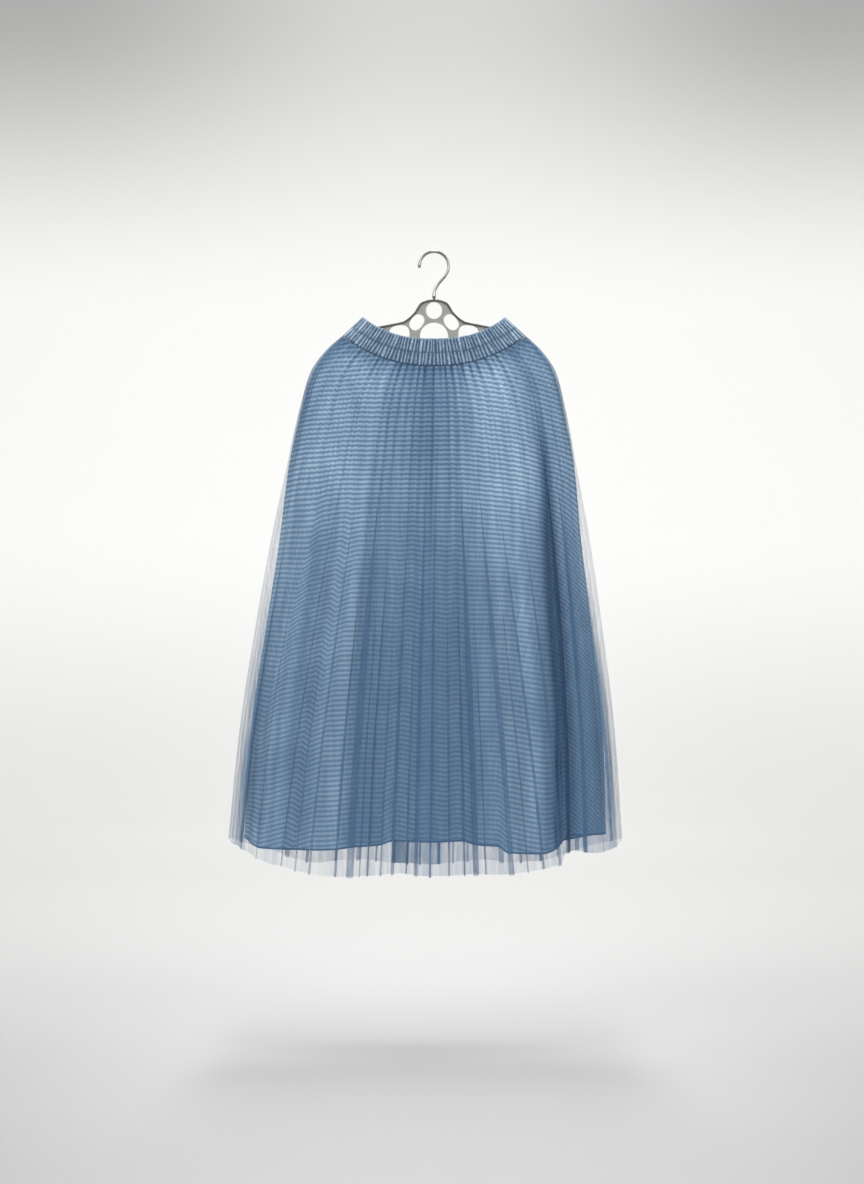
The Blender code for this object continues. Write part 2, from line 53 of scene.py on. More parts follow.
SKIRT_MIDDLE = (0.0, 0.0, -0.55)

# How a crease wavers on its way down, in radians, and the share of its run in which it fades out
CREASE_SWAY = 0.006
CREASE_WAVES = 9.0
CREASE_SHIFT = 40.0
CREASE_FADE = 0.35

# Shade beside a laid fold: the reach of its core, its far side and its lit side, and their strengths
FOLD_CORE = 0.0015
FOLD_BESIDE = 0.004
FOLD_LIT = 0.008
FOLD_LIT_AT = 0.009
FOLD_STRENGTHS = (0.62, 0.38, 0.30)

# How far below the waist seam its shadow and its deeper puckers reach, as drops
SEAM_SHADOW_REACH = 0.016
SEAM_PUCKER_REACH = 0.06


class Side(Enum):
    """The two halves of the skirt, with the way that each one faces along Y."""

    FRONT = -1.0
    BACK = 1.0

    @property
    def label(self) -> str:
        """Name the side as the CAD nodes do."""
        return self.name.lower()


class Lean(Enum):
    """Which way the visible edge of a laid fold points, seen from outside."""

    LEFT = -1.0
    RIGHT = 1.0


class Section(NamedTuple):
    """One ring of a skirt layer: its half axes in plan, and its height at the sides and middle."""

    drop: float
    half_width: float
    half_depth: float
    end_z: float
    middle_z: float


class Trough(NamedTuple):
    """A wide fold that lining and net share, by place across the panel from -1 to 1."""

    waist: float
    hem: float
    depth: float
    spread: float
    start: float


class Fold(NamedTuple):
    """A laid fold of the net: where it runs, how far it laps over itself and how deep it is."""

    waist: float
    hem: float
    lap: float
    depth: float
    start: float
    lean: Lean


class Crease(NamedTuple):
    """A soft trough, or a ridge where its depth is below zero, that runs part of the way down."""

    waist: float
    hem: float
    start: float
    end: float
    half_width: float
    depth: float


class HemFall(NamedTuple):
    """How far a hem hangs below its plain ring at a place across the panel, in metres."""

    place: float
    fall: float


class Tone(NamedTuple):
    """How light the lining is painted at a place across it, low down and near the waist: painted light and
    shade.
    """

    place: float
    low: float
    high: float


class Veil(NamedTuple):
    """How many layers' worth of net lie over a place: at the very hem, low down and high up."""

    place: float
    hem: float
    low: float
    high: float


class Tilt(NamedTuple):
    """How steeply the stripes rise to the right at a place, in degrees, low down and high up."""

    place: float
    low: float
    high: float


class Softbox(NamedTuple):
    """One rectangular light: where it hangs, what it points at, its size and its power in watts."""

    name: str
    at: tuple[float, float, float]
    aim: tuple[float, float, float]
    size: tuple[float, float]
    power: float


def smooth_lookup(keys: Sequence[float], values: Sequence[float], at: np.ndarray) -> np.ndarray:
    """Read a table between its rows with a curve that never overshoots them.

    Args:
        keys: The rows' positions, rising.
        values: The rows' values.
        at: Where the table is read.

    Returns:
        One value for each entry of at.
    """
    keys = np.asarray(keys, float)
    values = np.asarray(values, float)
    steps = np.diff(keys)
    slopes = np.diff(values) / steps
    tangents = np.zeros_like(values)
    tangents[0], tangents[-1] = slopes[0], slopes[-1]
    before, after = slopes[:-1], slopes[1:]
    same_sign = before * after > 0
    total = np.where(same_sign, before + after, 1.0)
    tangents[1:-1] = np.where(same_sign, 2 * before * after / total, 0.0)
    row = np.clip(np.searchsorted(keys, at, side="right") - 1, 0, len(keys) - 2)
    share = (at - keys[row]) / steps[row]
    squared, cubed = share**2, share**3
    return (
        (2 * cubed - 3 * squared + 1) * values[row]
        + (cubed - 2 * squared + share) * steps[row] * tangents[row]
        + (3 * squared - 2 * cubed) * values[row + 1]
        + (cubed - squared) * steps[row] * tangents[row + 1]
    )


def ease(value: np.ndarray, start: float, end: float) -> np.ndarray:
    """Rise smoothly from 0 at start to 1 at end."""
    share = np.clip((value - start) / (end - start), 0.0, 1.0)
    return share * share * (3 - 2 * share)


def blend(low: np.ndarray, high: np.ndarray, low_share: np.ndarray) -> np.ndarray:
    """Mix what a panel has low down with what it has high up."""
    return low * low_share + high * (1 - low_share)


def across_panel(table: Sequence[NamedTuple], column: str, place: np.ndarray) -> np.ndarray:
    """Read one column of a table by its places across a panel, straight between its rows."""
    return np.interp(place, [row.place for row in table], [getattr(row, column) for row in table])


def seam_shadow(drop: np.ndarray, gather_line: np.ndarray) -> np.ndarray:
    """Return how dark the cloth is right below the waist seam, darker between the gathers."""
    return (1 - ease(drop, 0.0, SEAM_SHADOW_REACH)) * (0.7 - 0.3 * gather_line)


def wander(at: np.ndarray, waves: Sequence[float], seed: int) -> np.ndarray:
    """Add up a few slow sine waves with seeded phases, for an uneven but repeatable line.

    Args:
        at: Positions in radians.
        waves: How many waves each sine has in a full turn.
        seed: Picks the phases.

    Returns:
        Values of about -1 to 1.
    """
    phases = np.random.default_rng(seed).uniform(0, 2 * math.pi, len(waves))
    total = sum(np.sin(at * wave + phase) for wave, phase in zip(waves, phases))
    return total / len(waves)


def as_rows(kind: type, *values: tuple) -> tuple:
    """Make a table of one kind of row from plain tuples."""
    return tuple(kind(*value) for value in values)


TROUGHS = {
    Side.FRONT: as_rows(
        Trough,
        (-0.70, -0.72, 0.0070, 7.0, 0.20),
        (-0.34, -0.38, 0.0110, 6.5, 0.15),
        (-0.08, -0.10, 0.0060, 6.0, 0.30),
        (0.20, 0.27, 0.0070, 6.5, 0.20),
        (0.44, 0.56, 0.0090, 7.0, 0.15),
        (0.84, 0.76, 0.0200, 7.5, 0.08),
    ),
    Side.BACK: as_rows(
        Trough,
        (-0.80, -0.76, 0.0150, 7.5, 0.10),
        (-0.47, -0.52, 0.0080, 6.5, 0.20),
        (-0.16, -0.20, 0.0100, 6.5, 0.15),
        (0.12, 0.10, 0.0060, 6.0, 0.30),
        (0.38, 0.44, 0.0100, 6.5, 0.15),
        (0.72, 0.74, 0.0070, 7.0, 0.20),
    ),
}
CREASES = {
    Side.FRONT: as_rows(
        Crease,
        (-0.78, -0.82, 0.04, 0.50, 0.0040, 0.0010), (-0.62, -0.66, 0.06, 0.55, 0.0035, 0.0012),
        (-0.50, -0.56, 0.14, 0.62, 0.0030, 0.0011), (-0.41, -0.46, 0.16, 0.74, 0.0028, 0.0015),
        (-0.36, -0.41, 0.16, 0.62, 0.0030, -0.0013), (-0.29, -0.33, 0.00, 0.42, 0.0026, 0.0011),
        (-0.21, -0.26, 0.00, 0.30, 0.0026, 0.0015), (-0.12, -0.15, 0.00, 0.46, 0.0030, 0.0012),
        (-0.045, -0.05, 0.00, 0.36, 0.0045, 0.0021), (-0.012, -0.02, 0.00, 0.34, 0.0022, 0.0014),
        (0.014, 0.02, 0.02, 0.62, 0.0018, -0.0016), (0.035, 0.04, 0.05, 0.50, 0.0025, 0.0011),
        (0.11, 0.14, 0.02, 0.42, 0.0030, 0.0010), (0.17, 0.21, 0.05, 0.50, 0.0030, 0.0014),
        (0.25, 0.31, 0.00, 0.35, 0.0026, 0.0013), (0.33, 0.43, 0.10, 0.62, 0.0042, 0.0017),
        (0.39, 0.50, 0.12, 0.65, 0.0030, -0.0011), (0.52, 0.62, 0.05, 0.50, 0.0035, 0.0012),
        (0.67, 0.71, 0.00, 0.45, 0.0030, 0.0010), (0.845, 0.765, 0.14, 1.00, 0.0078, 0.0062),
        (0.91, 0.87, 0.12, 0.70, 0.0040, 0.0014),
    ),
    Side.BACK: as_rows(
        Crease,
        (-0.86, -0.79, 0.12, 0.96, 0.0076, 0.0050), (-0.66, -0.70, 0.00, 0.50, 0.0035, 0.0012),
        (-0.48, -0.56, 0.08, 0.60, 0.0030, 0.0014), (-0.33, -0.38, 0.00, 0.40, 0.0028, 0.0012),
        (-0.20, -0.24, 0.04, 0.55, 0.0035, 0.0016), (-0.09, -0.11, 0.00, 0.34, 0.0026, 0.0014),
        (0.03, 0.03, 0.02, 0.55, 0.0020, -0.0014), (0.10, 0.13, 0.00, 0.44, 0.0032, 0.0015),
        (0.24, 0.30, 0.06, 0.60, 0.0030, 0.0012), (0.38, 0.45, 0.10, 0.66, 0.0036, 0.0016),
        (0.55, 0.61, 0.00, 0.45, 0.0030, 0.0011), (0.74, 0.78, 0.04, 0.58, 0.0036, 0.0013),
    ),
}


def middle_line(row: Fold | Crease, drop: np.ndarray) -> np.ndarray:
    """Return the bearing of a fold's or a crease's middle line, from its waist to its hem."""
    return math.asin(row.waist) + (math.asin(row.hem) - math.asin(row.waist)) * drop


def crease_depth(side: Side, seen: np.ndarray, drop: np.ndarray, pace: np.ndarray) -> np.ndarray:
    """Add up the creases at some places of one side.

    Args:
        side: The half of the skirt.
        seen: Radians from the middle of that half, to the right as seen from outside.
        drop: Share of the length below the waist seam.
        pace: Metres of ring in one radian there.

    Returns:
        The depth of the creases in metres, below zero on a ridge.
    """
    total = np.zeros(np.broadcast(seen, drop).shape)
    for crease in CREASES[side]:
        sway = CREASE_SWAY * np.sin(drop * CREASE_WAVES + CREASE_SHIFT * crease.waist)
        apart = (seen - (middle_line(crease, drop) + sway)) * pace / crease.half_width
        fade = CREASE_FADE * (crease.end - crease.start)
        grown = ease(drop, crease.start - 0.01, crease.start + fade * 0.4)
        if crease.end < 1.0:
            grown = grown * (1 - ease(drop, crease.end - fade, crease.end))
        total += crease.depth * grown * np.exp(-apart * apart)
    return total


def fold_shade(
    folds: Sequence[Fold], seen: np.ndarray, drop: np.ndarray, pace: np.ndarray
) -> np.ndarray:
    """Add up the soft shade that laid folds cast beside their edges.

    Args:
        folds: The panel's folds.
        seen: Radians from the middle of the side, to the right as seen from outside.
        drop: Share of the length below the waist seam.
        pace: Metres of ring in one radian there.

    Returns:
        About 1 at the darkest, and a little below zero on the lit side of a fold.
    """
    total = np.zeros(np.broadcast(seen, drop).shape)
    for fold in folds:
        apart = (seen - middle_line(fold, drop)) * pace * fold.lean.value
        grown = ease(drop, fold.start * 0.5, fold.start * 0.5 + 0.45)
        core = np.exp(-((apart / (0.6 * fold.lap + FOLD_CORE)) ** 2))
        beside = np.where(apart > 0, np.exp(-np.abs(apart) / (0.9 * fold.lap + FOLD_BESIDE)), 0.0)
        lit = np.exp(-(((apart + 0.6 * fold.lap + FOLD_LIT_AT) / FOLD_LIT) ** 2))
        of_core, of_beside, of_lit = FOLD_STRENGTHS
        total += grown * (0.35 + 40 * fold.lap) * (of_core * core + of_beside * beside - of_lit * lit)
    return total


FRONT_LINING_HEM = as_rows(
    HemFall,
    (-1.00, 0.000), (-0.91, 0.014), (-0.78, 0.0135), (-0.52, 0.011), (-0.40, 0.0065), (-0.25, 0.002),
    (-0.18, -0.0043), (0.06, -0.003), (0.20, -0.0045), (0.28, 0.002), (0.40, 0.005), (0.45, 0.015),
    (0.65, 0.019), (0.76, 0.012), (0.81, -0.007), (1.00, -0.005),
)
BACK_LINING_HEM = as_rows(
    HemFall,
    (-1.00, -0.005), (-0.82, 0.006), (-0.66, 0.013), (-0.42, 0.004), (-0.20, -0.003), (0.05, 0.006),
    (0.30, 0.011), (0.52, 0.003), (0.70, -0.002), (0.86, 0.010), (1.00, 0.000),
)
FRONT_NET_HEM = as_rows(
    HemFall,
    (-1.00, 0.000), (-0.89, 0.000), (-0.85, 0.0035), (-0.62, 0.005), (-0.47, 0.006), (-0.37, 0.005),
    (-0.24, 0.000), (-0.11, -0.001), (0.00, 0.0025), (0.14, 0.000), (0.52, 0.001), (0.69, -0.0025),
    (0.725, -0.016), (0.78, -0.014), (0.87, -0.003), (0.965, 0.0045), (1.00, 0.001),
)
BACK_NET_HEM = as_rows(
    HemFall,
    (-1.00, 0.001), (-0.80, -0.006), (-0.60, 0.003), (-0.30, -0.002), (0.00, 0.004), (0.35, -0.003),
    (0.62, 0.004), (0.82, -0.003), (1.00, 0.000),
)
LINING_HEMS = {Side.FRONT: FRONT_LINING_HEM, Side.BACK: BACK_LINING_HEM}
NET_HEMS = {Side.FRONT: FRONT_NET_HEM, Side.BACK: BACK_NET_HEM}


def hem_fall(falls: Sequence[HemFall], seen: np.ndarray, drop: np.ndarray, start: float) -> np.ndarray:
    """Return how far the cloth has sunk below its plain ring, growing from a drop to the hem."""
    sunk = smooth_lookup([row.place for row in falls], [row.fall for row in falls], np.sin(seen))
    return sunk * ease(drop, start, 1.0)


@dataclass(frozen=True)
class SkirtForm:
    """The rings of one skirt layer, as the CAD solids have them."""

    sections: tuple[Section, ...]
    hem_power: float
    waist_power: float = 2.3
    hem_lean: float = -0.0140
    half_seam: float = 0.00015

    def read(self, column: str, drop: np.ndarray) -> np.ndarray:
        """Read one column of the section table at some drops."""
        keys = [section.drop for section in self.sections]
        return smooth_lookup(keys, [getattr(section, column) for section in self.sections], drop)

    def trough_depth(self, side: Side, bearing: np.ndarray, drop: np.ndarray) -> np.ndarray:
        """Add up the wide folds at some places of one side.

        Args:
            side: The half of the skirt.
            bearing: Radians from the middle of that half, towards +X.
            drop: Share of the length below the waist seam.

        Returns:
            The depth of the folds in metres.
        """
        total = np.zeros(np.broadcast(bearing, drop).shape)
        for trough in TROUGHS[side]:
            grown = np.clip((drop - trough.start) / (1 - trough.start), 0.0, 1.0)
            grown = grown * (2 - grown)
            place = trough.waist + (trough.hem - trough.waist) * drop
            apart = np.degrees(bearing - np.arcsin(place)) / trough.spread
            total += trough.depth * grown * np.exp(-apart * apart)
        return total

    def pace(self, bearing: np.ndarray, drop: np.ndarray) -> np.ndarray:
        """Return how many metres of ring one radian of bearing takes."""
        half_width = self.read("half_width", drop)
        half_depth = self.read("half_depth", drop)
        return np.hypot(half_width * np.cos(bearing), half_depth * np.sin(bearing))

    def place(self, side: Side, bearing: np.ndarray, drop: np.ndarray, outward: np.ndarray) -> np.ndarray:
        """Place points of the layer.

        Args:
            side: The half of the skirt.
            bearing: Radians from the middle of that half, towards +X.
            drop: Share of the length below the waist seam.
            outward: Distance from the plain ring.

        Returns:
            An array of points with x, y and z in its last axis.
        """
        half_width = self.read("half_width", drop)
        half_depth = self.read("half_depth", drop)
        end_z = self.read("end_z", drop)
        middle_z = self.read("middle_z", drop)
        power = self.waist_power + (self.hem_power - self.waist_power) * drop
        sine, cosine = np.sin(bearing), np.cos(bearing)
        outward = outward - self.trough_depth(side, bearing, drop)
        normal_x, normal_y = sine * half_depth, side.value * cosine * half_width
        length = np.hypot(normal_x, normal_y)
        x = self.hem_lean * drop + half_width * sine + normal_x / length * outward
        y = side.value * (half_depth * cosine + self.half_seam) + normal_y / length * outward
        z = middle_z + (end_z - middle_z) * np.abs(sine) ** power + np.zeros_like(x)
        return np.stack([x, y, z], axis=-1)


NET_FORM = SkirtForm(
    sections=(
        Section(0.00, 0.1470, 0.0285, -0.1327, -0.1827),
        Section(0.04, 0.1724, 0.0400, -0.1560, -0.2140),
        Section(0.09, 0.1956, 0.0480, -0.1890, -0.2540),
        Section(0.16, 0.2115, 0.0550, -0.2450, -0.3100),
        Section(0.28, 0.2318, 0.0650, -0.3420, -0.4060),
        Section(0.42, 0.2545, 0.0780, -0.4560, -0.5190),
        Section(0.59, 0.2772, 0.0925, -0.5960, -0.6560),
        Section(0.79, 0.3000, 0.1090, -0.7620, -0.8170),
        Section(1.00, 0.3150, 0.1250, -0.9360, -0.9840),
    ),
    hem_power=4.0,
)
LINING_FORM = SkirtForm(
    sections=(
        Section(0.00, 0.1448, 0.0263, -0.1344, -0.1829),
        Section(0.04, 0.1684, 0.0335, -0.1560, -0.2130),
        Section(0.09, 0.1912, 0.0385, -0.1890, -0.2510),
        Section(0.16, 0.2076, 0.0430, -0.2450, -0.3040),
        Section(0.28, 0.2284, 0.0510, -0.3420, -0.3950),
        Section(0.42, 0.2410, 0.0600, -0.4560, -0.5010),
        Section(0.59, 0.2600, 0.0710, -0.5960, -0.6290),
        Section(0.79, 0.2810, 0.0840, -0.7620, -0.7800),
        Section(1.00, 0.2895, 0.0970, -0.9340, -0.9390),
    ),
    hem_power=3.0,
)


def grid_mesh(
    name: str,
    points: np.ndarray,
    outward_first: bool,
    uv: np.ndarray,
    attributes: dict[str, np.ndarray],
    closed: bool = False,
) -> bpy.types.Object:
    """Make a mesh object from a grid of points.

    Args:
        name: The object's name.
        points: Rows by columns by three; rows run down the cloth, columns to +X.
        outward_first: True where that order already turns the faces outwards.
        uv: Rows by columns by two, in metres along the cloth.
        attributes: One value for each point, by name.
        closed: True where both the rows and the columns join up.

    Returns:
        The object, smooth shaded, in the scene.
    """
    rows, columns = points.shape[:2]
    index = np.arange(rows * columns).reshape(rows, columns)
    if closed:
        index = np.pad(index, ((0, 1), (0, 1)), mode="wrap")
    corners = [index[:-1, :-1], index[1:, :-1], index[1:, 1:], index[:-1, 1:]]
    if not outward_first:
        corners.reverse()
    faces = np.stack(corners, axis=-1).reshape(-1, 4)
    mesh = bpy.data.meshes.new(name)
    mesh.from_pydata(points.reshape(-1, 3), [], faces)
    layer = mesh.uv_layers.new(name="cut")
    layer.data.foreach_set("uv", uv.reshape(-1, 2)[faces.ravel()].astype(np.float32).ravel())
    for label, values in attributes.items():
        attribute = mesh.attributes.new(label, "FLOAT", "POINT")
        attribute.data.foreach_set("value", values.astype(np.float32).ravel())
    mesh.shade_smooth()
    return add_object(name, mesh)


def add_object(name: str, data: bpy.types.ID) -> bpy.types.Object:
    """Put a mesh, a light or a camera in the scene as an object."""
    made = bpy.data.objects.new(name, data)
    bpy.context.scene.collection.objects.link(made)
    return made


def grid_normals(points: np.ndarray) -> np.ndarray:
    """Work out which way an open grid faces.

    Args:
        points: Rows by columns by three.

    Returns:
        A unit normal at each point.
    """
    across = np.gradient(points, axis=1)
    down = np.gradient(points, axis=0)
    normals = np.cross(across, down)
    return normals / np.maximum(np.linalg.norm(normals, axis=2, keepdims=True), 1e-12)


def flat_area(points: np.ndarray) -> float:
    """Return the area of a grid of points, in square metres."""
    across = np.diff(points, axis=1)[:-1]
    down = np.diff(points, axis=0)[:, :-1]
    return float(np.linalg.norm(np.cross(across, down), axis=2).sum())


class NodeWriter:
    """Adds nodes to a tree of any kind, in short calls."""

    def __init__(self, tree: bpy.types.NodeTree) -> None:
        """Keep the tree that the nodes go into."""
        self.tree = tree

    def settle(self, socket: bpy.types.NodeSocket, value: object) -> None:
        """Link a socket, or set its value where no socket is given.

        Args:
            socket: The input to settle.
            value: Another node's output, or a plain value.
        """
        if isinstance(value, bpy.types.NodeSocket):
            self.tree.links.new(value, socket)
        elif socket.type == "VECTOR":
            socket.default_value = value[:3]
        else:
            socket.default_value = value

    def add(self, kind: str, inputs: dict[object, object], **settings: object) -> bpy.types.Node:
        """Add a node.

        Args:
            kind: The node's type in Blender.
            inputs: What goes into each input, by name or number.
            settings: The node's own properties.

        Returns:
            The node.
        """
        node = self.tree.nodes.new(kind)
        for label, value in settings.items():
            setattr(node, label, value)
        for key, value in inputs.items():
            self.settle(node.inputs[key], value)
        return node


class NodeSheet(NodeWriter):
    """One material's nodes, with the sums and patterns that the cloths are made of."""

    def __init__(self, name: str) -> None:
        """Start from a Principled material."""
        self.material = bpy.data.materials.new(name)
        self.material.use_nodes = True
        super().__init__(self.material.node_tree)
        self.shader = self.tree.nodes["Principled BSDF"]

    def math(self, operation: str, *values: object) -> bpy.types.NodeSocket:
        """Work out a number."""
        return self.add("ShaderNodeMath", dict(enumerate(values)), operation=operation).outputs[0]

    def vector(self, operation: str, *values: object) -> bpy.types.NodeSocket:
        """Work out a vector."""
        node = self.add("ShaderNodeVectorMath", dict(enumerate(values)), operation=operation)
        return node.outputs["Value" if operation == "DOT_PRODUCT" else "Vector"]

    def reach(
        self, value: object, low: float, high: float, to_low: float, to_high: float
    ) -> bpy.types.NodeSocket:
        """Map a range smoothly onto another.

        Args:
            value: What is mapped.
            low: Start of the range.
            high: End of the range.
            to_low: What the start becomes.
            to_high: What the end becomes.

        Returns:
            The mapped value, held at both ends.
        """
        inputs = {"Value": value, "From Min": low, "From Max": high, "To Min": to_low, "To Max": to_high}
        node = self.add("ShaderNodeMapRange", inputs, interpolation_type="SMOOTHSTEP")
        return node.outputs["Result"]

    def attribute(self, name: str) -> bpy.types.NodeSocket:
        """Read a value that the mesh carries."""
        return self.add("ShaderNodeAttribute", {}, attribute_name=name).outputs["Fac"]

    def cut(self) -> bpy.types.NodeSocket:
        """Read the place on the flat cloth, in metres."""
        return self.add("ShaderNodeUVMap", {}, uv_map="cut").outputs["UV"]

    def place(self) -> bpy.types.NodeSocket:
        """Read the place in the object's own space, in metres."""
        return self.add("ShaderNodeTexCoord", {}).outputs["Object"]

    def split(self, vector: object) -> tuple[bpy.types.NodeSocket, ...]:
        """Take a vector apart."""
        return tuple(self.add("ShaderNodeSeparateXYZ", {"Vector": vector}).outputs)

    def noise(self, vector: object, scale: float, detail: float = 2.0) -> bpy.types.NodeSocket:
        """Read a soft noise of 0 to 1."""
        inputs = {"Vector": vector, "Scale": scale, "Detail": detail}
        return self.add("ShaderNodeTexNoise", inputs).outputs["Fac"]

    def mix(self, share: object, first: object, second: object) -> bpy.types.NodeSocket:
        """Mix two colours."""
        node = self.add("ShaderNodeMix", {0: share, 6: first, 7: second}, data_type="RGBA")
        return node.outputs[2]

    def dim(self, colour: object, share: object) -> bpy.types.NodeSocket:
        """Multiply a colour by a number."""
        inputs = {"Vector": colour, "Scale": share}
        return self.add("ShaderNodeVectorMath", inputs, operation="SCALE").outputs[0]

    def deepen(self, colour: object, share: object) -> bpy.types.NodeSocket:
        """Dim a cloth's colour by its painted light and shade, its red first and its blue last, as layers of
        blue cloth do.
        """
        parts = {number: self.math("POWER", share, power) for number, power in enumerate((1.15, 1.0, 0.80))}
        return self.vector("MULTIPLY", colour, self.add("ShaderNodeCombineXYZ", parts).outputs[0])

    def bump(self, height: object, distance: float, strength: float) -> None:
        """Raise the surface by a height of 0 to 1 times distance."""
        inputs = {"Height": height, "Distance": distance, "Strength": strength}
        node = self.add("ShaderNodeBump", inputs)
        self.settle(self.shader.inputs["Normal"], node.outputs["Normal"])

    def shade(self, **inputs: object) -> bpy.types.Material:
        """Set the shader's inputs, with underscores for spaces, and return the material."""
        for label, value in inputs.items():
            self.settle(self.shader.inputs[label.replace("_", " ")], value)
        return self.material


def srgb(red: float, green: float, blue: float) -> tuple[float, float, float, float]:
    """Turn an 8-bit screen colour into the linear one that a shader takes."""
    channels = []
    for value in (red, green, blue):
        share = value / 255
        channels.append(share / 12.92 if share <= 0.04045 else ((share + 0.055) / 1.055) ** 2.4)
    return (*channels, 1.0)


@dataclass(frozen=True)
class StripedCloth:
    """Plain-woven lining with even stripes along its width."""

    light: tuple[float, float, float, float] = srgb(174, 200, 222)
    dark: tuple[float, float, float, float] = srgb(102, 138, 173)
    hem: tuple[float, float, float, float] = srgb(82, 112, 146)
    period: float = 0.0076
    hem_line: float = 0.0024
    thread_scale: float = 900.0

    def material(self) -> bpy.types.Material:
        """Build the material from the cloth's own coordinates and its tone attribute, which carries painted
        light and shade.
        """
        sheet = NodeSheet("striped_lining")
        _, down, _ = sheet.split(sheet.cut())
        wave = sheet.math("SINE", sheet.math("MULTIPLY", down, 2 * math.pi / self.period))
        stripe = sheet.reach(wave, -0.85, 0.85, -0.5, 0.5)
        share = sheet.math("MULTIPLY_ADD", stripe, sheet.attribute("contrast"), 0.5)
        colour = sheet.mix(share, self.dark, self.light)
        hem = sheet.reach(sheet.attribute("to_hem"), self.hem_line, self.hem_line * 1.5, 1.0, 0.0)
        colour = sheet.mix(hem, colour, self.hem)
        threads = sheet.noise(sheet.cut(), self.thread_scale, 3.0)
        blotches = sheet.noise(sheet.cut(), 18.0)
        # The tone attribute paints light and shade into the colour; threads, blotches and streaks vary it at
        # random
        tone = sheet.math("MULTIPLY", sheet.attribute("tone"), sheet.reach(threads, 0.3, 0.7, 0.94, 1.05))
        tone = sheet.math("MULTIPLY", tone, sheet.reach(blotches, 0.3, 0.7, 0.95, 1.06))
        streaks = sheet.noise(sheet.vector("MULTIPLY", sheet.cut(), (1.0, 0.07, 0.0)), 110.0, 3.0)
        tone = sheet.math("MULTIPLY", tone, sheet.reach(streaks, 0.3, 0.7, 0.92, 1.08))
        sheet.bump(threads, 0.0002, 0.35)
        return sheet.shade(Base_Color=sheet.deepen(colour, tone), Roughness=0.82, Sheen_Weight=0.08)


@dataclass(frozen=True)
class HexNet:
    """Six-sided net: fine threads round open cells."""

    colour: tuple[float, float, float, float] = srgb(82, 122, 160)
    cell: float = 0.0019
    thread: float = 0.16
    open_alpha: float = 0.10
    thread_alpha: float = 0.42
    streak_scale: float = 190.0

    def cell_distance(self, sheet: NodeSheet, scaled: object, offset: float) -> bpy.types.NodeSocket:
        """Return the six-sided distance from the nearest cell centre of one of two lattices."""
        half = (0.5, math.sqrt(3) / 2, 1.0)
        shifted = sheet.vector("ADD", scaled, tuple(offset * part for part in half))
        wrapped = sheet.vector("WRAP", shifted, half, tuple(-part for part in half))
        size = sheet.vector("ABSOLUTE", wrapped)
        slanted = sheet.vector("DOT_PRODUCT", size, (0.5, math.sqrt(3) / 2, 0.0))
        return sheet.math("MAXIMUM", sheet.split(size)[0], slanted)

    def material(self) -> bpy.types.Material:
        """Build the material: alpha is the net's pattern, denser where the mesh says it bunches."""
        sheet = NodeSheet("net")
        scale = 1 / self.cell
        scaled = sheet.vector("MULTIPLY", sheet.cut(), (scale, scale, 0.0))
        distance = sheet.math(
            "MINIMUM", self.cell_distance(sheet, scaled, 0.0), self.cell_distance(sheet, scaled, 1.0)
        )
        thread = sheet.reach(distance, 0.5 - self.thread, 0.5, 0.0, 1.0)
        cover = sheet.reach(thread, 0.0, 1.0, self.open_alpha, self.thread_alpha)
        crushed = sheet.noise(sheet.vector("MULTIPLY", sheet.cut(), (1.0, 0.07, 0.0)), self.streak_scale, 3.0)
        bunching = sheet.attribute("bunching")
        layers = sheet.math("MULTIPLY", bunching, sheet.reach(crushed, 0.3, 0.7, 0.64, 1.40))
        clear = sheet.math("POWER", sheet.math("SUBTRACT", 1.0, cover), layers)
        alpha = sheet.math("SUBTRACT", 1.0, clear)
        # Tone that differs at random, times the tone attribute, which paints shade into the net's colour
        shade = sheet.reach(sheet.noise(sheet.cut(), 40.0), 0.3, 0.7, 0.93, 1.07)
        shade = sheet.math("MULTIPLY", shade, sheet.attribute("tone"))
        material = sheet.shade(Base_Color=sheet.deepen(self.colour, shade), Roughness=0.78, Alpha=alpha)
        material.surface_render_method = "DITHERED"
        return material


@dataclass(frozen=True)
class RuchedCloth:
    """The waistband's cloth: painted light on the crests of its gathers and painted shade between them."""

    # Painted highlight on the crests, painted shade in the valleys, and a mid tone between them
    crest: tuple[float, float, float, float] = srgb(190, 208, 224)
    valley: tuple[float, float, float, float] = srgb(64, 88, 115)
    stripe: tuple[float, float, float, float] = srgb(129, 156, 182)

    def material(self) -> bpy.types.Material:
        """Build the material from the ridge attribute that the mesh carries, which paints light and shade
        onto the gathers.
        """
        sheet = NodeSheet("ruched_cloth")
        grain = sheet.noise(sheet.place(), 700.0, 3.0)
        patches = sheet.noise(sheet.place(), 220.0)
        lift = sheet.math("ADD", sheet.attribute("ridge"), sheet.reach(patches, 0.3, 0.7, -0.14, 0.12))
        lift = sheet.math("ADD", lift, sheet.reach(grain, 0.3, 0.7, -0.10, 0.10))
        colour = sheet.mix(sheet.reach(lift, 0.05, 0.55, 0.0, 1.0), self.valley, self.stripe)
        colour = sheet.mix(sheet.reach(lift, 0.45, 1.0, 0.0, 1.0), colour, self.crest)
        sheet.bump(grain, 0.0003, 0.5)
        return sheet.shade(Base_Color=colour, Roughness=0.84, Sheen_Weight=0.10)


@dataclass(frozen=True)
class SewingThread:
    """Thread of the waistband's stitches."""

    colour: tuple[float, float, float, float] = srgb(120, 148, 180)

    def material(self) -> bpy.types.Material:
        """Build the material: a twisted thread, a little glossier than the cloth."""
        sheet = NodeSheet("sewing_thread")
        twist = sheet.noise(sheet.place(), 2500.0)
        tone = sheet.reach(twist, 0.3, 0.7, 0.85, 1.1)
        return sheet.shade(Base_Color=sheet.dim(self.colour, tone), Roughness=0.6)


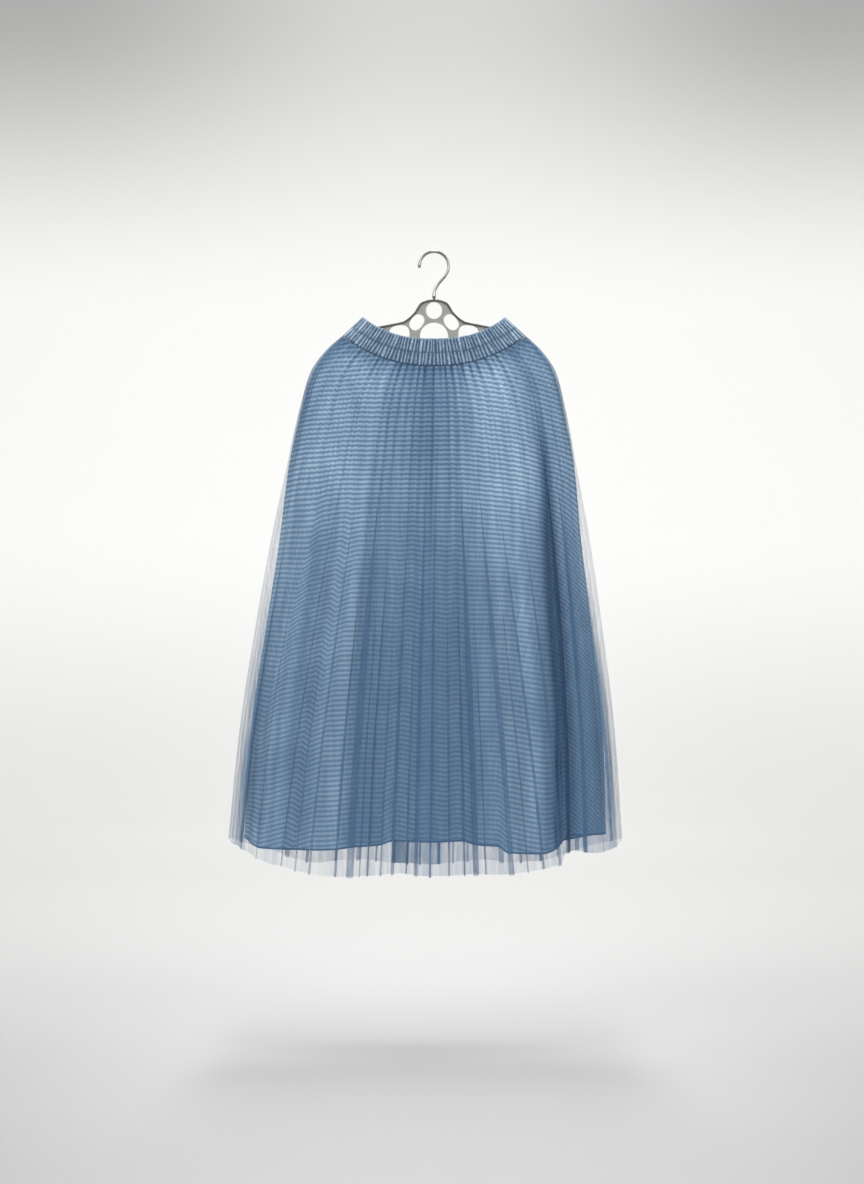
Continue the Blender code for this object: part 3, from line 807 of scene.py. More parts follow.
@dataclass(frozen=True)
class SatinMetal:
    """Brushed grey metal."""

    name: str
    colour: tuple[float, float, float, float]
    roughness: float
    metallic: float
    rim_shade: float = 1.0
    web_face: float = 0.0014
    grain_scale: float = 350.0

    def material(self) -> bpy.types.Material:
        """Build the material: fine scratches along X, slow changes of tone, and painted shade on the raised
        rim's faces off the web.
        """
        sheet = NodeSheet(self.name)
        stretched = sheet.vector("MULTIPLY", sheet.place(), (0.25, 1.0, 1.0))
        scratches = sheet.noise(stretched, self.grain_scale * 4, 4.0)
        clouds = sheet.noise(sheet.place(), self.grain_scale / 6)
        scratched = sheet.reach(scratches, 0.3, 0.7, 0.93, 1.06)
        tone = sheet.math("MULTIPLY", scratched, sheet.reach(clouds, 0.3, 0.7, 0.92, 1.06))
        # Painted shade: the rim's faces, off the web's flat faces, are darker
        if self.rim_shade < 1.0:
            off_middle = sheet.math("ABSOLUTE", sheet.split(sheet.place())[1])
            rim = sheet.reach(off_middle, self.web_face, self.web_face + 0.0004, 1.0, self.rim_shade)
            tone = sheet.math("MULTIPLY", tone, rim)
        rough = sheet.reach(scratches, 0.3, 0.7, self.roughness - 0.06, self.roughness + 0.08)
        sheet.bump(scratches, 0.00005, 0.3)
        return sheet.shade(Base_Color=sheet.dim(self.colour, tone), Roughness=rough, Metallic=self.metallic)


def finish_piece(
    piece: bpy.types.Object, material: bpy.types.Material, replaced: Iterable[str] = ()
) -> None:
    """Give a piece its material, tell the frame what it rides on and hide the CAD nodes that it stands for.

    Args:
        piece: The finished mesh object.
        material: Its material.
        replaced: The CAD nodes that the piece stands for.
    """
    piece.data.materials.clear()
    piece.data.materials.append(material)
    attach(piece, BODY)
    for node in replaced:
        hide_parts(node)
    LOG.info("%s: %d faces", piece.name, len(piece.data.polygons))


def gather_rows(
    side: Side, seen: np.ndarray, drop: np.ndarray, gathers: float, reach: float
) -> tuple[np.ndarray, np.ndarray]:
    """Work out the fine gathers below the waist seam, which net and lining share.

    Args:
        side: The half of the skirt.
        seen: Radians from the middle of that half, to the right as seen from outside.
        drop: Share of the length below the waist seam.
        gathers: Radians of wave in one radian of bearing.
        reach: Drop where most gathers have faded.

    Returns:
        The wave, -1 in a valley and 1 on a crest, and how strong it still is, from 0 to 1.
    """
    seed = 21 if side is Side.FRONT else 22
    line = np.sin(seen * gathers + 2.6 * wander(seen, (7, 15, 29, 47), seed))
    length = reach * (1 + 0.55 * wander(seen, (19, 33, 58), seed + 5))
    strength = 0.75 + 0.45 * wander(seen, (23, 41, 67), seed + 6)
    fading = (1 - ease(drop / length, 0.0, 1.0)) * ease(drop, -0.01, 0.012)
    return line, fading * strength


@dataclass
class Lining:
    """The striped lining, one panel a side."""

    columns: int = 300
    rows: int = 220
    gathers: float = 92.0
    gather_height: float = 0.0009
    gather_reach: float = 0.55
    gather_shade: float = 0.40
    gather_sway: float = 0.0008
    crease_shade: float = 85.0
    fold_shade: float = 0.15
    seam_shade: float = 0.40
    tone_wander: float = 0.14
    low_contrast: float = 0.66
    high_contrast: float = 0.94
    lift: float = 0.15
    low_from: tuple[float, float] = (0.22, 0.48)
    hem_from: float = 0.55
    # How much deeper the painted shade in the gather valleys is right below the waist seam
    seam_puckers: float = 0.9
    stripe_wander: float = 0.0012
    tilt_drop: float = 0.90
    tilt_spread: float = 0.50
    pleats: float = 44.0
    pleat_height: float = 0.0016
    seeds: ClassVar[dict[Side, int]] = {Side.FRONT: 11, Side.BACK: 12}
    # Painted light and shade across a panel: above 1 a painted highlight, below 1 painted shade
    painted_panel_light: tuple[Tone, ...] = as_rows(
        Tone,
        (-1.00, 1.20, 1.00), (-0.90, 1.12, 1.12), (-0.76, 0.84, 1.34), (-0.66, 0.82, 1.24),
        (-0.56, 1.02, 1.14), (-0.46, 1.03, 1.16), (-0.38, 0.84, 1.06), (-0.28, 0.83, 1.02),
        (-0.08, 0.82, 0.90), (0.04, 0.84, 0.94), (0.16, 0.80, 1.04), (0.28, 0.95, 1.20),
        (0.42, 1.00, 1.42), (0.60, 1.00, 1.50), (0.72, 0.90, 1.38), (0.77, 0.38, 1.06),
        (0.82, 0.80, 1.08), (0.88, 0.90, 1.12), (1.00, 0.86, 1.04),
    )
    tilts: tuple[Tilt, ...] = as_rows(
        Tilt,
        (-1.00, 40.0, 8.0), (-0.95, 34.0, 8.0), (-0.93, 9.0, 8.0), (-0.875, 9.0, 6.0),
        (-0.865, 15.0, 5.0), (-0.755, 15.0, 3.0), (-0.745, -28.0, 3.0), (-0.705, -28.0, 2.0),
        (-0.695, 21.0, 2.0), (-0.615, 18.0, 2.0), (-0.595, 1.0, 1.0), (-0.40, 0.0, 1.0),
        (-0.37, -4.0, 0.0), (-0.245, -4.0, 0.0), (-0.235, 9.0, 0.0), (-0.158, 9.0, 0.0),
        (-0.148, -13.0, 0.0), (-0.066, -13.0, 0.0), (-0.054, 6.5, 0.0), (0.020, 6.5, 0.0),
        (0.030, -9.0, 0.0), (0.104, -9.0, 0.0), (0.112, 11.0, -1.0), (0.163, 11.0, -1.0),
        (0.172, -9.0, -1.0), (0.215, -8.0, -2.0), (0.25, 0.0, -3.0), (0.36, 0.0, -6.0),
        (0.38, -4.0, -6.0), (0.48, -5.0, -9.0), (0.51, -9.0, -10.0), (0.62, -7.0, -12.0),
        (0.72, -5.0, -14.0), (0.77, -12.0, -15.0), (0.80, -42.0, -16.0), (0.95, -48.0, -18.0),
        (1.00, -50.0, -18.0),
    )

    def stripe_line(self, place: np.ndarray, drop: np.ndarray, low_share: np.ndarray) -> np.ndarray:
        """Work out how the stripes climb and fall across a panel.

        Args:
            place: Share of the half width, to the right as seen from outside.
            drop: Share of the length below the waist seam.
            low_share: How much the low tilts count there against the high ones.

        Returns:
            How far the stripes have climbed, as a share of the half width.
        """
        fine = np.linspace(-1, 1, 1601)
        spread = np.where(place < 0, 1 - self.tilt_spread * (drop - self.tilt_drop), 1.0)
        places = {"low": np.maximum(place * spread, -1.0), "high": place + 0 * drop}
        climbs = {}
        for height, at in places.items():
            slope = np.tan(np.radians(across_panel(self.tilts, height, fine)))
            climb = np.concatenate([[0.0], np.cumsum((slope[1:] + slope[:-1]) / 2 * np.diff(fine))])
            climbs[height] = np.interp(at, fine, climb - np.interp(0.0, fine, climb))
        return blend(climbs["low"], climbs["high"], low_share)

    def shade(self, side: Side, seen: np.ndarray, drop: np.ndarray, crease: np.ndarray) -> np.ndarray:
        """Work out the painted light and shade of a panel, with tone that differs at random.

        Args:
            side: The half of the skirt.
            seen: Radians from the middle of that half, to the right as seen from outside.
            drop: Share of the length below the waist seam.
            crease: Depth of the creases there.

        Returns:
            The share of the cloth's own tone, which is about 1.
        """
        gather_line, fading = gather_rows(side, seen, drop, self.gathers, self.gather_reach)
        place = np.sin(seen)
        low, high = (across_panel(self.painted_panel_light, height, place) for height in ("low", "high"))
        tone = blend(low, high, ease(drop, *self.low_from))
        # Painted shade in the gather valleys, deeper right below the waist seam, in the creases and below the
        # seam
        puckers = 1 + self.seam_puckers * (1 - ease(drop, 0.0, SEAM_PUCKER_REACH))
        tone -= self.gather_shade * fading * puckers * np.clip(-gather_line, 0, 1) ** 2
        tone -= self.crease_shade * crease
        tone -= self.seam_shade * seam_shadow(drop, gather_line)
        tone += self.tone_wander * wander(seen, (16, 27, 44), self.seeds[side] + 31)
        net_pace = NET_FORM.pace(seen, drop)
        tone -= self.fold_shade * fold_shade(FOLDS[side], seen, drop, net_pace)
        return np.clip(tone, 0.30, 1.6)

    def build(self, side: Side) -> bpy.types.Object:
        """Build one panel of the lining.

        Args:
            side: The half of the skirt.

        Returns:
            The panel, with stripes in its UV map and its painted light and shade, hem and stripe contrast in
            attributes.
        """
        bearing = np.linspace(-QUARTER_TURN, QUARTER_TURN, self.columns + 1)[None, :]
        drop = np.linspace(0, 1, self.rows + 1)[:, None]
        seen = -side.value * bearing
        gather_line, fading = gather_rows(side, seen, drop, self.gathers, self.gather_reach)
        seed = self.seeds[side]
        pleat_line = np.cos(bearing * self.pleats + 1.8 * wander(bearing, (5, 11), seed + 10))
        growing = ease(drop, 0.10, 0.85)
        quiet_ends = ease(np.cos(bearing), 0.0, 0.25)
        pace = LINING_FORM.pace(bearing, drop)
        crease = quiet_ends * crease_depth(side, seen, drop, pace)
        outward = -crease + quiet_ends * (
            self.gather_height * fading * gather_line
            + self.pleat_height * growing * (pleat_line - 1) / 2
        )
        points = LINING_FORM.place(side, bearing, drop, outward)
        points[..., 2] += self.lift * outward
        low_share = ease(drop, *self.low_from)
        climb = LINING_FORM.read("half_width", drop) * self.stripe_line(np.sin(seen), drop, low_share)
        down = climb - points[..., 2] + self.gather_sway * fading * gather_line
        down = down + self.stripe_wander * wander(bearing + 0.25 * drop, (4, 9, 14), seed + 20)
        points[..., 2] -= hem_fall(LINING_HEMS[side], seen, drop, self.hem_from)
        everywhere = np.zeros_like(down)
        top_z, hem_z = LINING_FORM.read("middle_z", np.array([0.0, 1.0]))
        made = grid_mesh(
            f"striped_lining_{side.label}",
            points,
            side is Side.FRONT,
            np.stack([pace * bearing + everywhere, down], axis=-1),
            {
                "tone": self.shade(side, seen, drop, crease),
                "to_hem": (1 - drop) * (top_z - hem_z) + everywhere,
                "contrast": blend(self.low_contrast, self.high_contrast, low_share) + everywhere,
            },
        )
        LOG.info("%s: %.3f square metres", made.name, flat_area(points))
        return made

    def dress(self, panels: dict[Side, bpy.types.Object]) -> None:
        """Give both panels their cloth.

        Args:
            panels: The panel of each side.
        """
        material = StripedCloth().material()
        for side, panel in panels.items():
            finish_piece(panel, material, [f"lining_{side.label}"])


LEFT, RIGHT = Lean.LEFT, Lean.RIGHT
FOLDS = {
    Side.FRONT: as_rows(
        Fold,
        (-0.965, -0.978, 0.0020, 0.0014, 0.10, RIGHT), (-0.90, -0.928, 0.0060, 0.0020, 0.15, RIGHT),
        (-0.80, -0.850, 0.0022, 0.0015, 0.25, RIGHT), (-0.60, -0.730, 0.0030, 0.0018, 0.12, RIGHT),
        (-0.55, -0.655, 0.0016, 0.0012, 0.45, LEFT), (-0.49, -0.580, 0.0046, 0.0020, 0.12, RIGHT),
        (-0.42, -0.452, 0.0024, 0.0016, 0.30, LEFT), (-0.36, -0.382, 0.0110, 0.0028, 0.16, LEFT),
        (-0.315, -0.332, 0.0018, 0.0013, 0.30, RIGHT), (-0.265, -0.290, 0.0026, 0.0016, 0.22, RIGHT),
        (-0.205, -0.222, 0.0018, 0.0013, 0.45, LEFT), (-0.150, -0.164, 0.0040, 0.0018, 0.18, LEFT),
        (-0.085, -0.095, 0.0020, 0.0014, 0.40, RIGHT), (-0.042, -0.047, 0.0050, 0.0018, 0.06, LEFT),
        (0.020, 0.024, 0.0030, 0.0016, 0.06, RIGHT), (0.090, 0.119, 0.0022, 0.0014, 0.35, RIGHT),
        (0.145, 0.198, 0.0024, 0.0015, 0.25, LEFT), (0.185, 0.256, 0.0100, 0.0026, 0.16, LEFT),
        (0.225, 0.305, 0.0018, 0.0013, 0.40, RIGHT), (0.295, 0.433, 0.0075, 0.0024, 0.10, RIGHT),
        (0.350, 0.520, 0.0026, 0.0016, 0.30, LEFT), (0.400, 0.600, 0.0055, 0.0020, 0.14, LEFT),
        (0.560, 0.690, 0.0040, 0.0020, 0.30, RIGHT), (0.835, 0.752, 0.0120, 0.0030, 0.06, LEFT),
        (0.885, 0.822, 0.0034, 0.0018, 0.12, RIGHT), (0.925, 0.900, 0.0022, 0.0014, 0.30, LEFT),
        (0.962, 0.966, 0.0030, 0.0014, 0.08, LEFT),
    ),
    Side.BACK: as_rows(
        Fold,
        (-0.94, -0.955, 0.0030, 0.0016, 0.25, LEFT), (-0.84, -0.790, 0.0090, 0.0028, 0.08, RIGHT),
        (-0.70, -0.690, 0.0022, 0.0015, 0.35, LEFT), (-0.52, -0.600, 0.0050, 0.0020, 0.18, RIGHT),
        (-0.42, -0.500, 0.0024, 0.0015, 0.35, LEFT), (-0.33, -0.400, 0.0090, 0.0026, 0.14, RIGHT),
        (-0.26, -0.310, 0.0020, 0.0014, 0.45, LEFT), (-0.19, -0.220, 0.0030, 0.0017, 0.22, LEFT),
        (-0.12, -0.145, 0.0020, 0.0014, 0.38, RIGHT), (-0.06, -0.070, 0.0045, 0.0019, 0.12, LEFT),
        (0.02, 0.030, 0.0020, 0.0014, 0.40, RIGHT), (0.08, 0.095, 0.0028, 0.0016, 0.20, RIGHT),
        (0.14, 0.170, 0.0060, 0.0022, 0.12, LEFT), (0.21, 0.260, 0.0022, 0.0015, 0.40, RIGHT),
        (0.28, 0.350, 0.0085, 0.0026, 0.14, LEFT), (0.37, 0.470, 0.0030, 0.0017, 0.30, RIGHT),
        (0.50, 0.620, 0.0055, 0.0021, 0.18, LEFT), (0.67, 0.730, 0.0080, 0.0026, 0.12, RIGHT),
        (0.82, 0.840, 0.0025, 0.0016, 0.30, LEFT), (0.93, 0.945, 0.0035, 0.0017, 0.25, RIGHT),
    ),
}
VEILS = {
    Side.FRONT: as_rows(
        Veil,
        (-1.00, 1.4, 1.4, 0.9), (-0.965, 1.4, 1.6, 0.9), (-0.955, 4.8, 7.2, 0.5), (-0.925, 3.4, 7.2, 0.5),
        (-0.905, 1.6, 1.6, 0.7), (-0.87, 1.2, 1.4, 0.9), (-0.62, 1.0, 1.3, 0.8), (-0.57, 0.9, 0.9, 0.8),
        (-0.46, 0.9, 1.0, 0.9), (-0.38, 1.7, 1.7, 1.0), (-0.34, 1.3, 1.8, 1.1), (-0.15, 1.9, 2.4, 1.3),
        (-0.08, 2.4, 2.9, 1.6), (0.06, 2.3, 2.7, 1.4), (0.14, 2.1, 2.2, 1.2), (0.22, 2.0, 2.4, 1.1),
        (0.30, 1.6, 1.6, 1.0), (0.42, 1.9, 1.5, 0.8), (0.60, 1.5, 1.3, 0.8), (0.69, 1.5, 1.5, 1.0),
        (0.72, 3.0, 3.2, 1.6), (0.79, 2.8, 2.8, 1.8), (0.84, 2.4, 1.6, 1.3), (0.91, 2.8, 1.8, 0.9),
        (0.93, 4.8, 8.0, 0.5), (0.965, 4.2, 8.0, 0.5), (0.978, 0.9, 1.0, 0.5), (1.00, 0.9, 1.0, 0.5),
    ),
    Side.BACK: as_rows(
        Veil,
        (-1.00, 1.5, 1.4, 1.0), (-0.62, 1.2, 1.3, 0.9), (-0.60, 2.4, 1.7, 0.9), (-0.50, 2.4, 1.6, 1.0),
        (-0.47, 1.1, 1.2, 0.9), (-0.09, 1.3, 1.4, 1.2), (-0.07, 3.4, 2.0, 1.3), (0.04, 4.2, 2.4, 1.5),
        (0.055, 8.5, 2.4, 1.5), (0.16, 8.5, 2.2, 1.2), (0.175, 1.2, 1.5, 1.0), (0.46, 1.1, 1.2, 0.9),
        (0.48, 2.2, 1.6, 1.0), (0.62, 2.2, 1.6, 1.0), (0.64, 1.2, 1.3, 0.9), (1.00, 1.6, 1.4, 1.0),
    ),
}


@dataclass
class NetOverskirt:
    """The clear net over the lining, one panel a side, laid in folds that open towards the hem."""

    rows: int = 96
    columns_per_fold: int = 16
    columns_between: int = 640
    widest_fold: float = 0.036
    gathers: float = 92.0
    gather_height: float = 0.00075
    gather_reach: float = 0.55
    hem_tip: float = 0.0038
    hem_wave: float = 0.0016
    steepest: float = 2.0
    fold_layers: float = 1.0
    gather_layers: float = 1.8
    seam_layers: float = 1.4
    edge_layers: float = 2.4
    fold_shade: float = 0.15
    crease_shade: float = 70.0
    gather_shade: float = 0.34
    hem_from: float = 0.75
    seam_puckers: float = 1.3
    seam_shade: float = 0.45
    veil_wander: float = 0.50
    seeds: ClassVar[dict[Side, int]] = {Side.FRONT: 21, Side.BACK: 22}

    def columns(self, folds: Sequence[Fold]) -> tuple[np.ndarray, ...]:
        """Lay out a panel's columns.

        Args:
            folds: The panel's folds, from one side seam to the other.

        Returns:
            For each column its bearing at the waist and at the hem, its turn within a fold
            in radians (0 between folds), and the number of its fold or -1.
        """
        waists = [math.asin(fold.waist) for fold in folds]
        hems = [math.asin(fold.hem) for fold in folds]
        gaps = np.diff([-QUARTER_TURN, *waists, QUARTER_TURN])
        widths = [min(self.widest_fold, 0.55 * gaps[i], 0.55 * gaps[i + 1]) for i in range(len(folds))]
        parts = []
        start = (-QUARTER_TURN, -QUARTER_TURN)
        for number, (waist, hem, width) in enumerate(zip(waists, hems, widths)):
            end = (waist - width / 2, hem - width / 2)
            parts.append(self.plain_stretch(start, end))
            turns = np.linspace(-math.pi, math.pi, self.columns_per_fold + 1)[:-1]
            shift = width * turns / (2 * math.pi)
            fold_number = np.full_like(turns, number)
            parts.append(np.stack([waist + shift, hem + shift, turns, fold_number]))
            start = (waist + width / 2, hem + width / 2)
        parts.append(self.plain_stretch(start, (QUARTER_TURN, QUARTER_TURN)))
        parts.append(np.array([[QUARTER_TURN], [QUARTER_TURN], [0.0], [-1.0]]))
        return tuple(np.concatenate(parts, axis=1))

    def plain_stretch(self, start: tuple[float, float], end: tuple[float, float]) -> np.ndarray:
        """Lay out the columns between two folds, closer together where the stretch is narrow.

        Args:
            start: Bearings at the waist and at the hem where the stretch starts.
            end: The same where it ends.

        Returns:
            What columns returns, for this stretch alone.
        """
        width = max(end[0] - start[0], end[1] - start[1])
        count = max(4, round(self.columns_between * width / math.pi))
        share = np.arange(count) / count
        waist = start[0] + (end[0] - start[0]) * share
        hem = start[1] + (end[1] - start[1]) * share
        return np.stack([waist, hem, np.zeros(count), np.full(count, -1.0)])

    def veil(self, side: Side, waist: np.ndarray, place: np.ndarray, drop: np.ndarray) -> np.ndarray:
        """Work out how many layers of net lie over the lining.

        Args:
            side: The half of the skirt.
            waist: Each column's bearing at the waist.
            place: Share of the half width, to the right as seen from outside.
            drop: Share of the length below the waist seam.

        Returns:
            Layers of net, before its folds and gathers add theirs.
        """
        at_hem, low, high = (across_panel(VEILS[side], height, place) for height in ("hem", "low", "high"))
        out = np.abs(place)
        low_share = blend(ease(drop, 0.42, 0.90), ease(drop, 0.20, 0.62), ease(out, 0.88, 0.92))
        layers = blend(at_hem, blend(low, high, low_share), ease(drop, 0.925, 0.965))
        layers = layers * (1 + self.veil_wander * wander(waist, (14, 26, 45, 70), self.seeds[side] + 30))
        return layers + self.edge_layers * (1 - ease(drop, 0.14, 0.30)) * ease(out, 0.93, 0.98)

    def build(self, side: Side) -> bpy.types.Object:
        """Build one panel of the net.

        Args:
            side: The half of the skirt.

        Returns:
            The panel, with its cut in the UV map and its density and painted shade in attributes.
        """
        folds = FOLDS[side]
        waist, hem, turn, number = self.columns(folds)
        drop = np.linspace(0, 1, self.rows + 1)[:, None]
        seen = waist + (hem - waist) * drop
        laid = number >= 0
        index = np.clip(number, 0, None).astype(int)
        lap, depth, start = (
            np.array([getattr(fold, size) for fold in folds])[index] for size in ("lap", "depth", "start")
        )
        lean = np.array([fold.lean.value for fold in folds])[index]
        grown = np.where(laid, ease(drop, start * 0.6, start * 0.6 + 0.55), 0.0)
        pace = NET_FORM.pace(seen, drop)
        width = np.zeros_like(waist)
        for fold_number in range(len(folds)):
            of_fold = number == fold_number
            width[of_fold] = np.ptp(waist[of_fold]) * (1 + 1 / self.columns_per_fold)
        reach = grown * (lap / 2 + width * pace / 4)
        seen = seen - reach * np.sin(turn) / pace
        line, fading = gather_rows(side, waist, drop, self.gathers, self.gather_reach)
        quiet_ends = ease(np.cos(waist), 0.0, 0.2)
        crease = quiet_ends * crease_depth(side, seen, drop, pace)
        outward = -lean * depth * grown * np.sin(turn) + self.gather_height * fading * line * quiet_ends
        bearing = -side.value * seen
        points = NET_FORM.place(side, bearing, drop, outward - crease)
        on_fold = np.where(laid, np.cos(turn / 2) ** 2, 0.0)
        tip = on_fold * self.hem_tip * (0.25 + 0.75 * np.sin(index * 2.1) ** 2)
        wave = self.hem_wave * wander(waist, (13, 23, 37), self.seeds[side] + 10)
        sunk = hem_fall(NET_HEMS[side], seen, drop, self.hem_from)
        points[..., 2] -= ease(drop, self.hem_from, 1.0) * (tip + wave) + sunk
        facing = np.abs((grid_normals(points) * self.ring_normals(side, bearing, drop)).sum(axis=2))
        steep = np.minimum(1 / np.maximum(facing, 0.12), self.steepest)
        steep = 1 + (steep - 1) * (0.30 + 0.70 * ease(drop, 0.30, 0.70))
        valley = np.clip(-line, 0, 1) ** 2 * fading * quiet_ends
        # Gather valleys deepen right below the waist seam: more net layers there and more painted shade
        valley = valley * (1 + self.seam_puckers * (1 - ease(drop, 0.0, SEAM_PUCKER_REACH)))
        density = self.veil(side, waist, np.sin(seen), drop) * steep
        density = density + on_fold * self.fold_layers * grown + self.gather_layers * valley
        density += self.seam_layers * (1 - ease(drop, 0.0, 0.035))
        # Painted shade beside the folds, in the creases, in the gather valleys and below the waist seam
        tone = 1 - self.fold_shade * fold_shade(folds, seen, drop, pace) - self.crease_shade * crease
        tone -= self.gather_shade * valley + self.seam_shade * seam_shadow(drop, line)
        made = grid_mesh(
            f"net_overskirt_{side.label}",
            points,
            True,
            self.cut(points),
            {"bunching": density, "tone": np.clip(tone, 0.3, 1.3)},
        )
        LOG.info("%s: %.3f square metres", made.name, flat_area(points))
        return made

    def cut(self, points: np.ndarray) -> np.ndarray:
        """Lay a panel's points flat.

        Args:
            points: Rows by columns by three, in metres.

        Returns:
            Metres from the panel's middle and from its waist, along the cloth.
        """
        steps = np.linalg.norm(np.diff(points, axis=1), axis=2)
        along = np.pad(np.cumsum(steps, axis=1), ((0, 0), (1, 0)))
        along -= along[:, -1:] / 2
        falls = np.linalg.norm(np.diff(points, axis=0), axis=2)
        down = np.pad(np.cumsum(falls, axis=0), ((1, 0), (0, 0)))
        return np.stack([along, down], axis=-1)

    def ring_normals(self, side: Side, bearing: np.ndarray, drop: np.ndarray) -> np.ndarray:
        """Work out which way the plain rings face at a panel's points.

        Args:
            side: The half of the skirt.
            bearing: Radians from the middle of that half, towards +X.
            drop: Share of the length below the waist seam.

        Returns:
            Unit normals that point outwards.
        """
        normal_x = np.sin(bearing) * NET_FORM.read("half_depth", drop)
        normal_y = side.value * np.cos(bearing) * NET_FORM.read("half_width", drop)
        normals = np.stack([normal_x, normal_y, np.zeros_like(normal_x)], axis=-1)
        return normals / np.linalg.norm(normals, axis=2, keepdims=True)

    def dress(self, panels: dict[Side, bpy.types.Object]) -> None:
        """Give both panels the net.

        Args:
            panels: The panel of each side.
        """
        material = HexNet().material()
        for side, panel in panels.items():
            finish_piece(panel, material, [f"net_{side.label}"])


@dataclass
class Waistband:
    """The ruched waistband: two elastic channels with a row of stitches between them."""

    top_half_width: float = 0.1150
    top_half_depth: float = 0.0245
    top_middle_z: float = -0.1385
    top_end_z: float = -0.1030
    foot_half_width: float = 0.1470
    foot_half_depth: float = 0.0285
    foot_middle_z: float = -0.1822
    foot_end_z: float = -0.1322
    top_power: float = 2.5
    foot_power: float = 2.3
    wall: float = 0.0032
    gathers: int = 108
    columns_per_gather: int = 12
    outer_rows: int = 32
    inner_rows: int = 4
    gather_height: float = 0.0028
    seam_height: float = 0.48
    stitch_spacing: float = 0.0036
    stitch_length: float = 0.0022
    stitch_radius: float = 0.00032
    stitch_depth: float = 0.0012
    stitch_seed: int = 7
    stitch_steps: int = 360
    channel_blend: float = 0.03
    slant: float = 0.035
    seam_pinch: float = 0.0006
    top_ruffle: float = 0.0026
    foot_ruffle: float = 0.0016
    foot_shade: float = 0.35
    seam_shade: float = 0.25
    top_light: float = 0.25
    end_light: float = 0.14
    flat_height: float = 0.045
    flat_stretch: float = 1.3

    def place(self, bearing: np.ndarray, height: np.ndarray, outward: np.ndarray) -> np.ndarray:
        """Place points of the band.

        Args:
            bearing: Radians round the band from the middle of its front.
            height: 0 at its foot and 1 at its top edge.
            outward: Distance from the plain ring.

        Returns:
            An array of points with x, y and z in its last axis.
        """
        half_width = self.foot_half_width + (self.top_half_width - self.foot_half_width) * height
        half_depth = self.foot_half_depth + (self.top_half_depth - self.foot_half_depth) * height
        sine, cosine = np.sin(bearing), np.cos(bearing)
        foot_z = self.foot_middle_z + (self.foot_end_z - self.foot_middle_z) * np.abs(sine) ** self.foot_power
        top_z = self.top_middle_z + (self.top_end_z - self.top_middle_z) * np.abs(sine) ** self.top_power
        normal_x, normal_y = sine * half_depth, -cosine * half_width
        length = np.hypot(normal_x, normal_y)
        x = half_width * sine + normal_x / length * outward
        y = -half_depth * cosine + normal_y / length * outward
        z = foot_z + (top_z - foot_z) * height
        return np.stack([x, y, z], axis=-1)

    def ridge_line(self, turn: np.ndarray, seed: int) -> np.ndarray:
        """Draw an uneven row of gathers round the band.

        Args:
            turn: Radians round the band, even along its cloth.
            seed: Picks the unevenness.

        Returns:
            About 0 in a gap and 1 on a crest.
        """
        drift = 1.5 * wander(turn, (11, 26, 43, 71), seed)
        strength = 0.80 + 0.26 * wander(turn, (19, 37, 61), seed + 1)
        wave = np.cos(turn * self.gathers + drift)
        minor = np.cos(turn * self.gathers * 0.5 + drift)
        ridge = 0.5 + 0.5 * (0.84 * wave + 0.16 * minor)
        return np.clip(ridge, 0, 1) ** 0.9 * strength

    def even_bearings(self, columns: int) -> np.ndarray:
        """Return bearings whose points lie evenly along the band."""
        fine = np.linspace(0, 2 * math.pi, 4001)
        ring = self.place(fine, np.full_like(fine, 0.5), np.zeros_like(fine))
        length = np.concatenate([[0.0], np.cumsum(np.linalg.norm(np.diff(ring, axis=0), axis=1))])
        return np.interp(np.arange(columns) / columns * length[-1], length, fine)

    def build(self) -> bpy.types.Object:
        """Build the band as one closed ring of cloth."""
        columns = self.gathers * self.columns_per_gather
        bearing = self.even_bearings(columns)[None, :]
        turn = np.linspace(0, 2 * math.pi, columns, endpoint=False)[None, :]
        height = np.linspace(0, 1, self.outer_rows + 1)[:, None]
        slant = self.slant * wander(turn, (8, 21), 31) * (height - 0.5)
        lower = self.ridge_line(turn + slant, 41)
        upper = self.ridge_line(turn + slant, 51)
        seam = self.seam_height
        upper_share = ease(height, seam - self.channel_blend, seam + self.channel_blend)
        ridge = lower * (1 - upper_share) + upper * upper_share
        in_channel = np.where(height < seam, height / seam, (height - seam) / (1 - seam))
        bulge = np.sin(np.pi * np.clip(in_channel, 0.04, 0.96)) ** 0.4
        fullness = np.where(height > 0.97, 0.9, bulge)
        outward = self.gather_height * fullness * (ridge - 0.75) + self.seam_pinch * (bulge - 1)
        outer = self.place(bearing, height, outward)
        outer[..., 2] += ease(height, 0.85, 1.0) * self.top_ruffle * (upper - 0.45)
        outer[..., 2] -= (1 - ease(height, 0.0, 0.12)) * self.foot_ruffle * (lower - 0.5)
        inner_height = np.linspace(1, 0, self.inner_rows + 1)[:, None]
        inner = self.place(bearing, inner_height, np.full((1, columns), -self.wall))
        points = np.concatenate([outer, inner], axis=0)
        inner_ridge = np.full((self.inner_rows + 1, columns), 0.55)
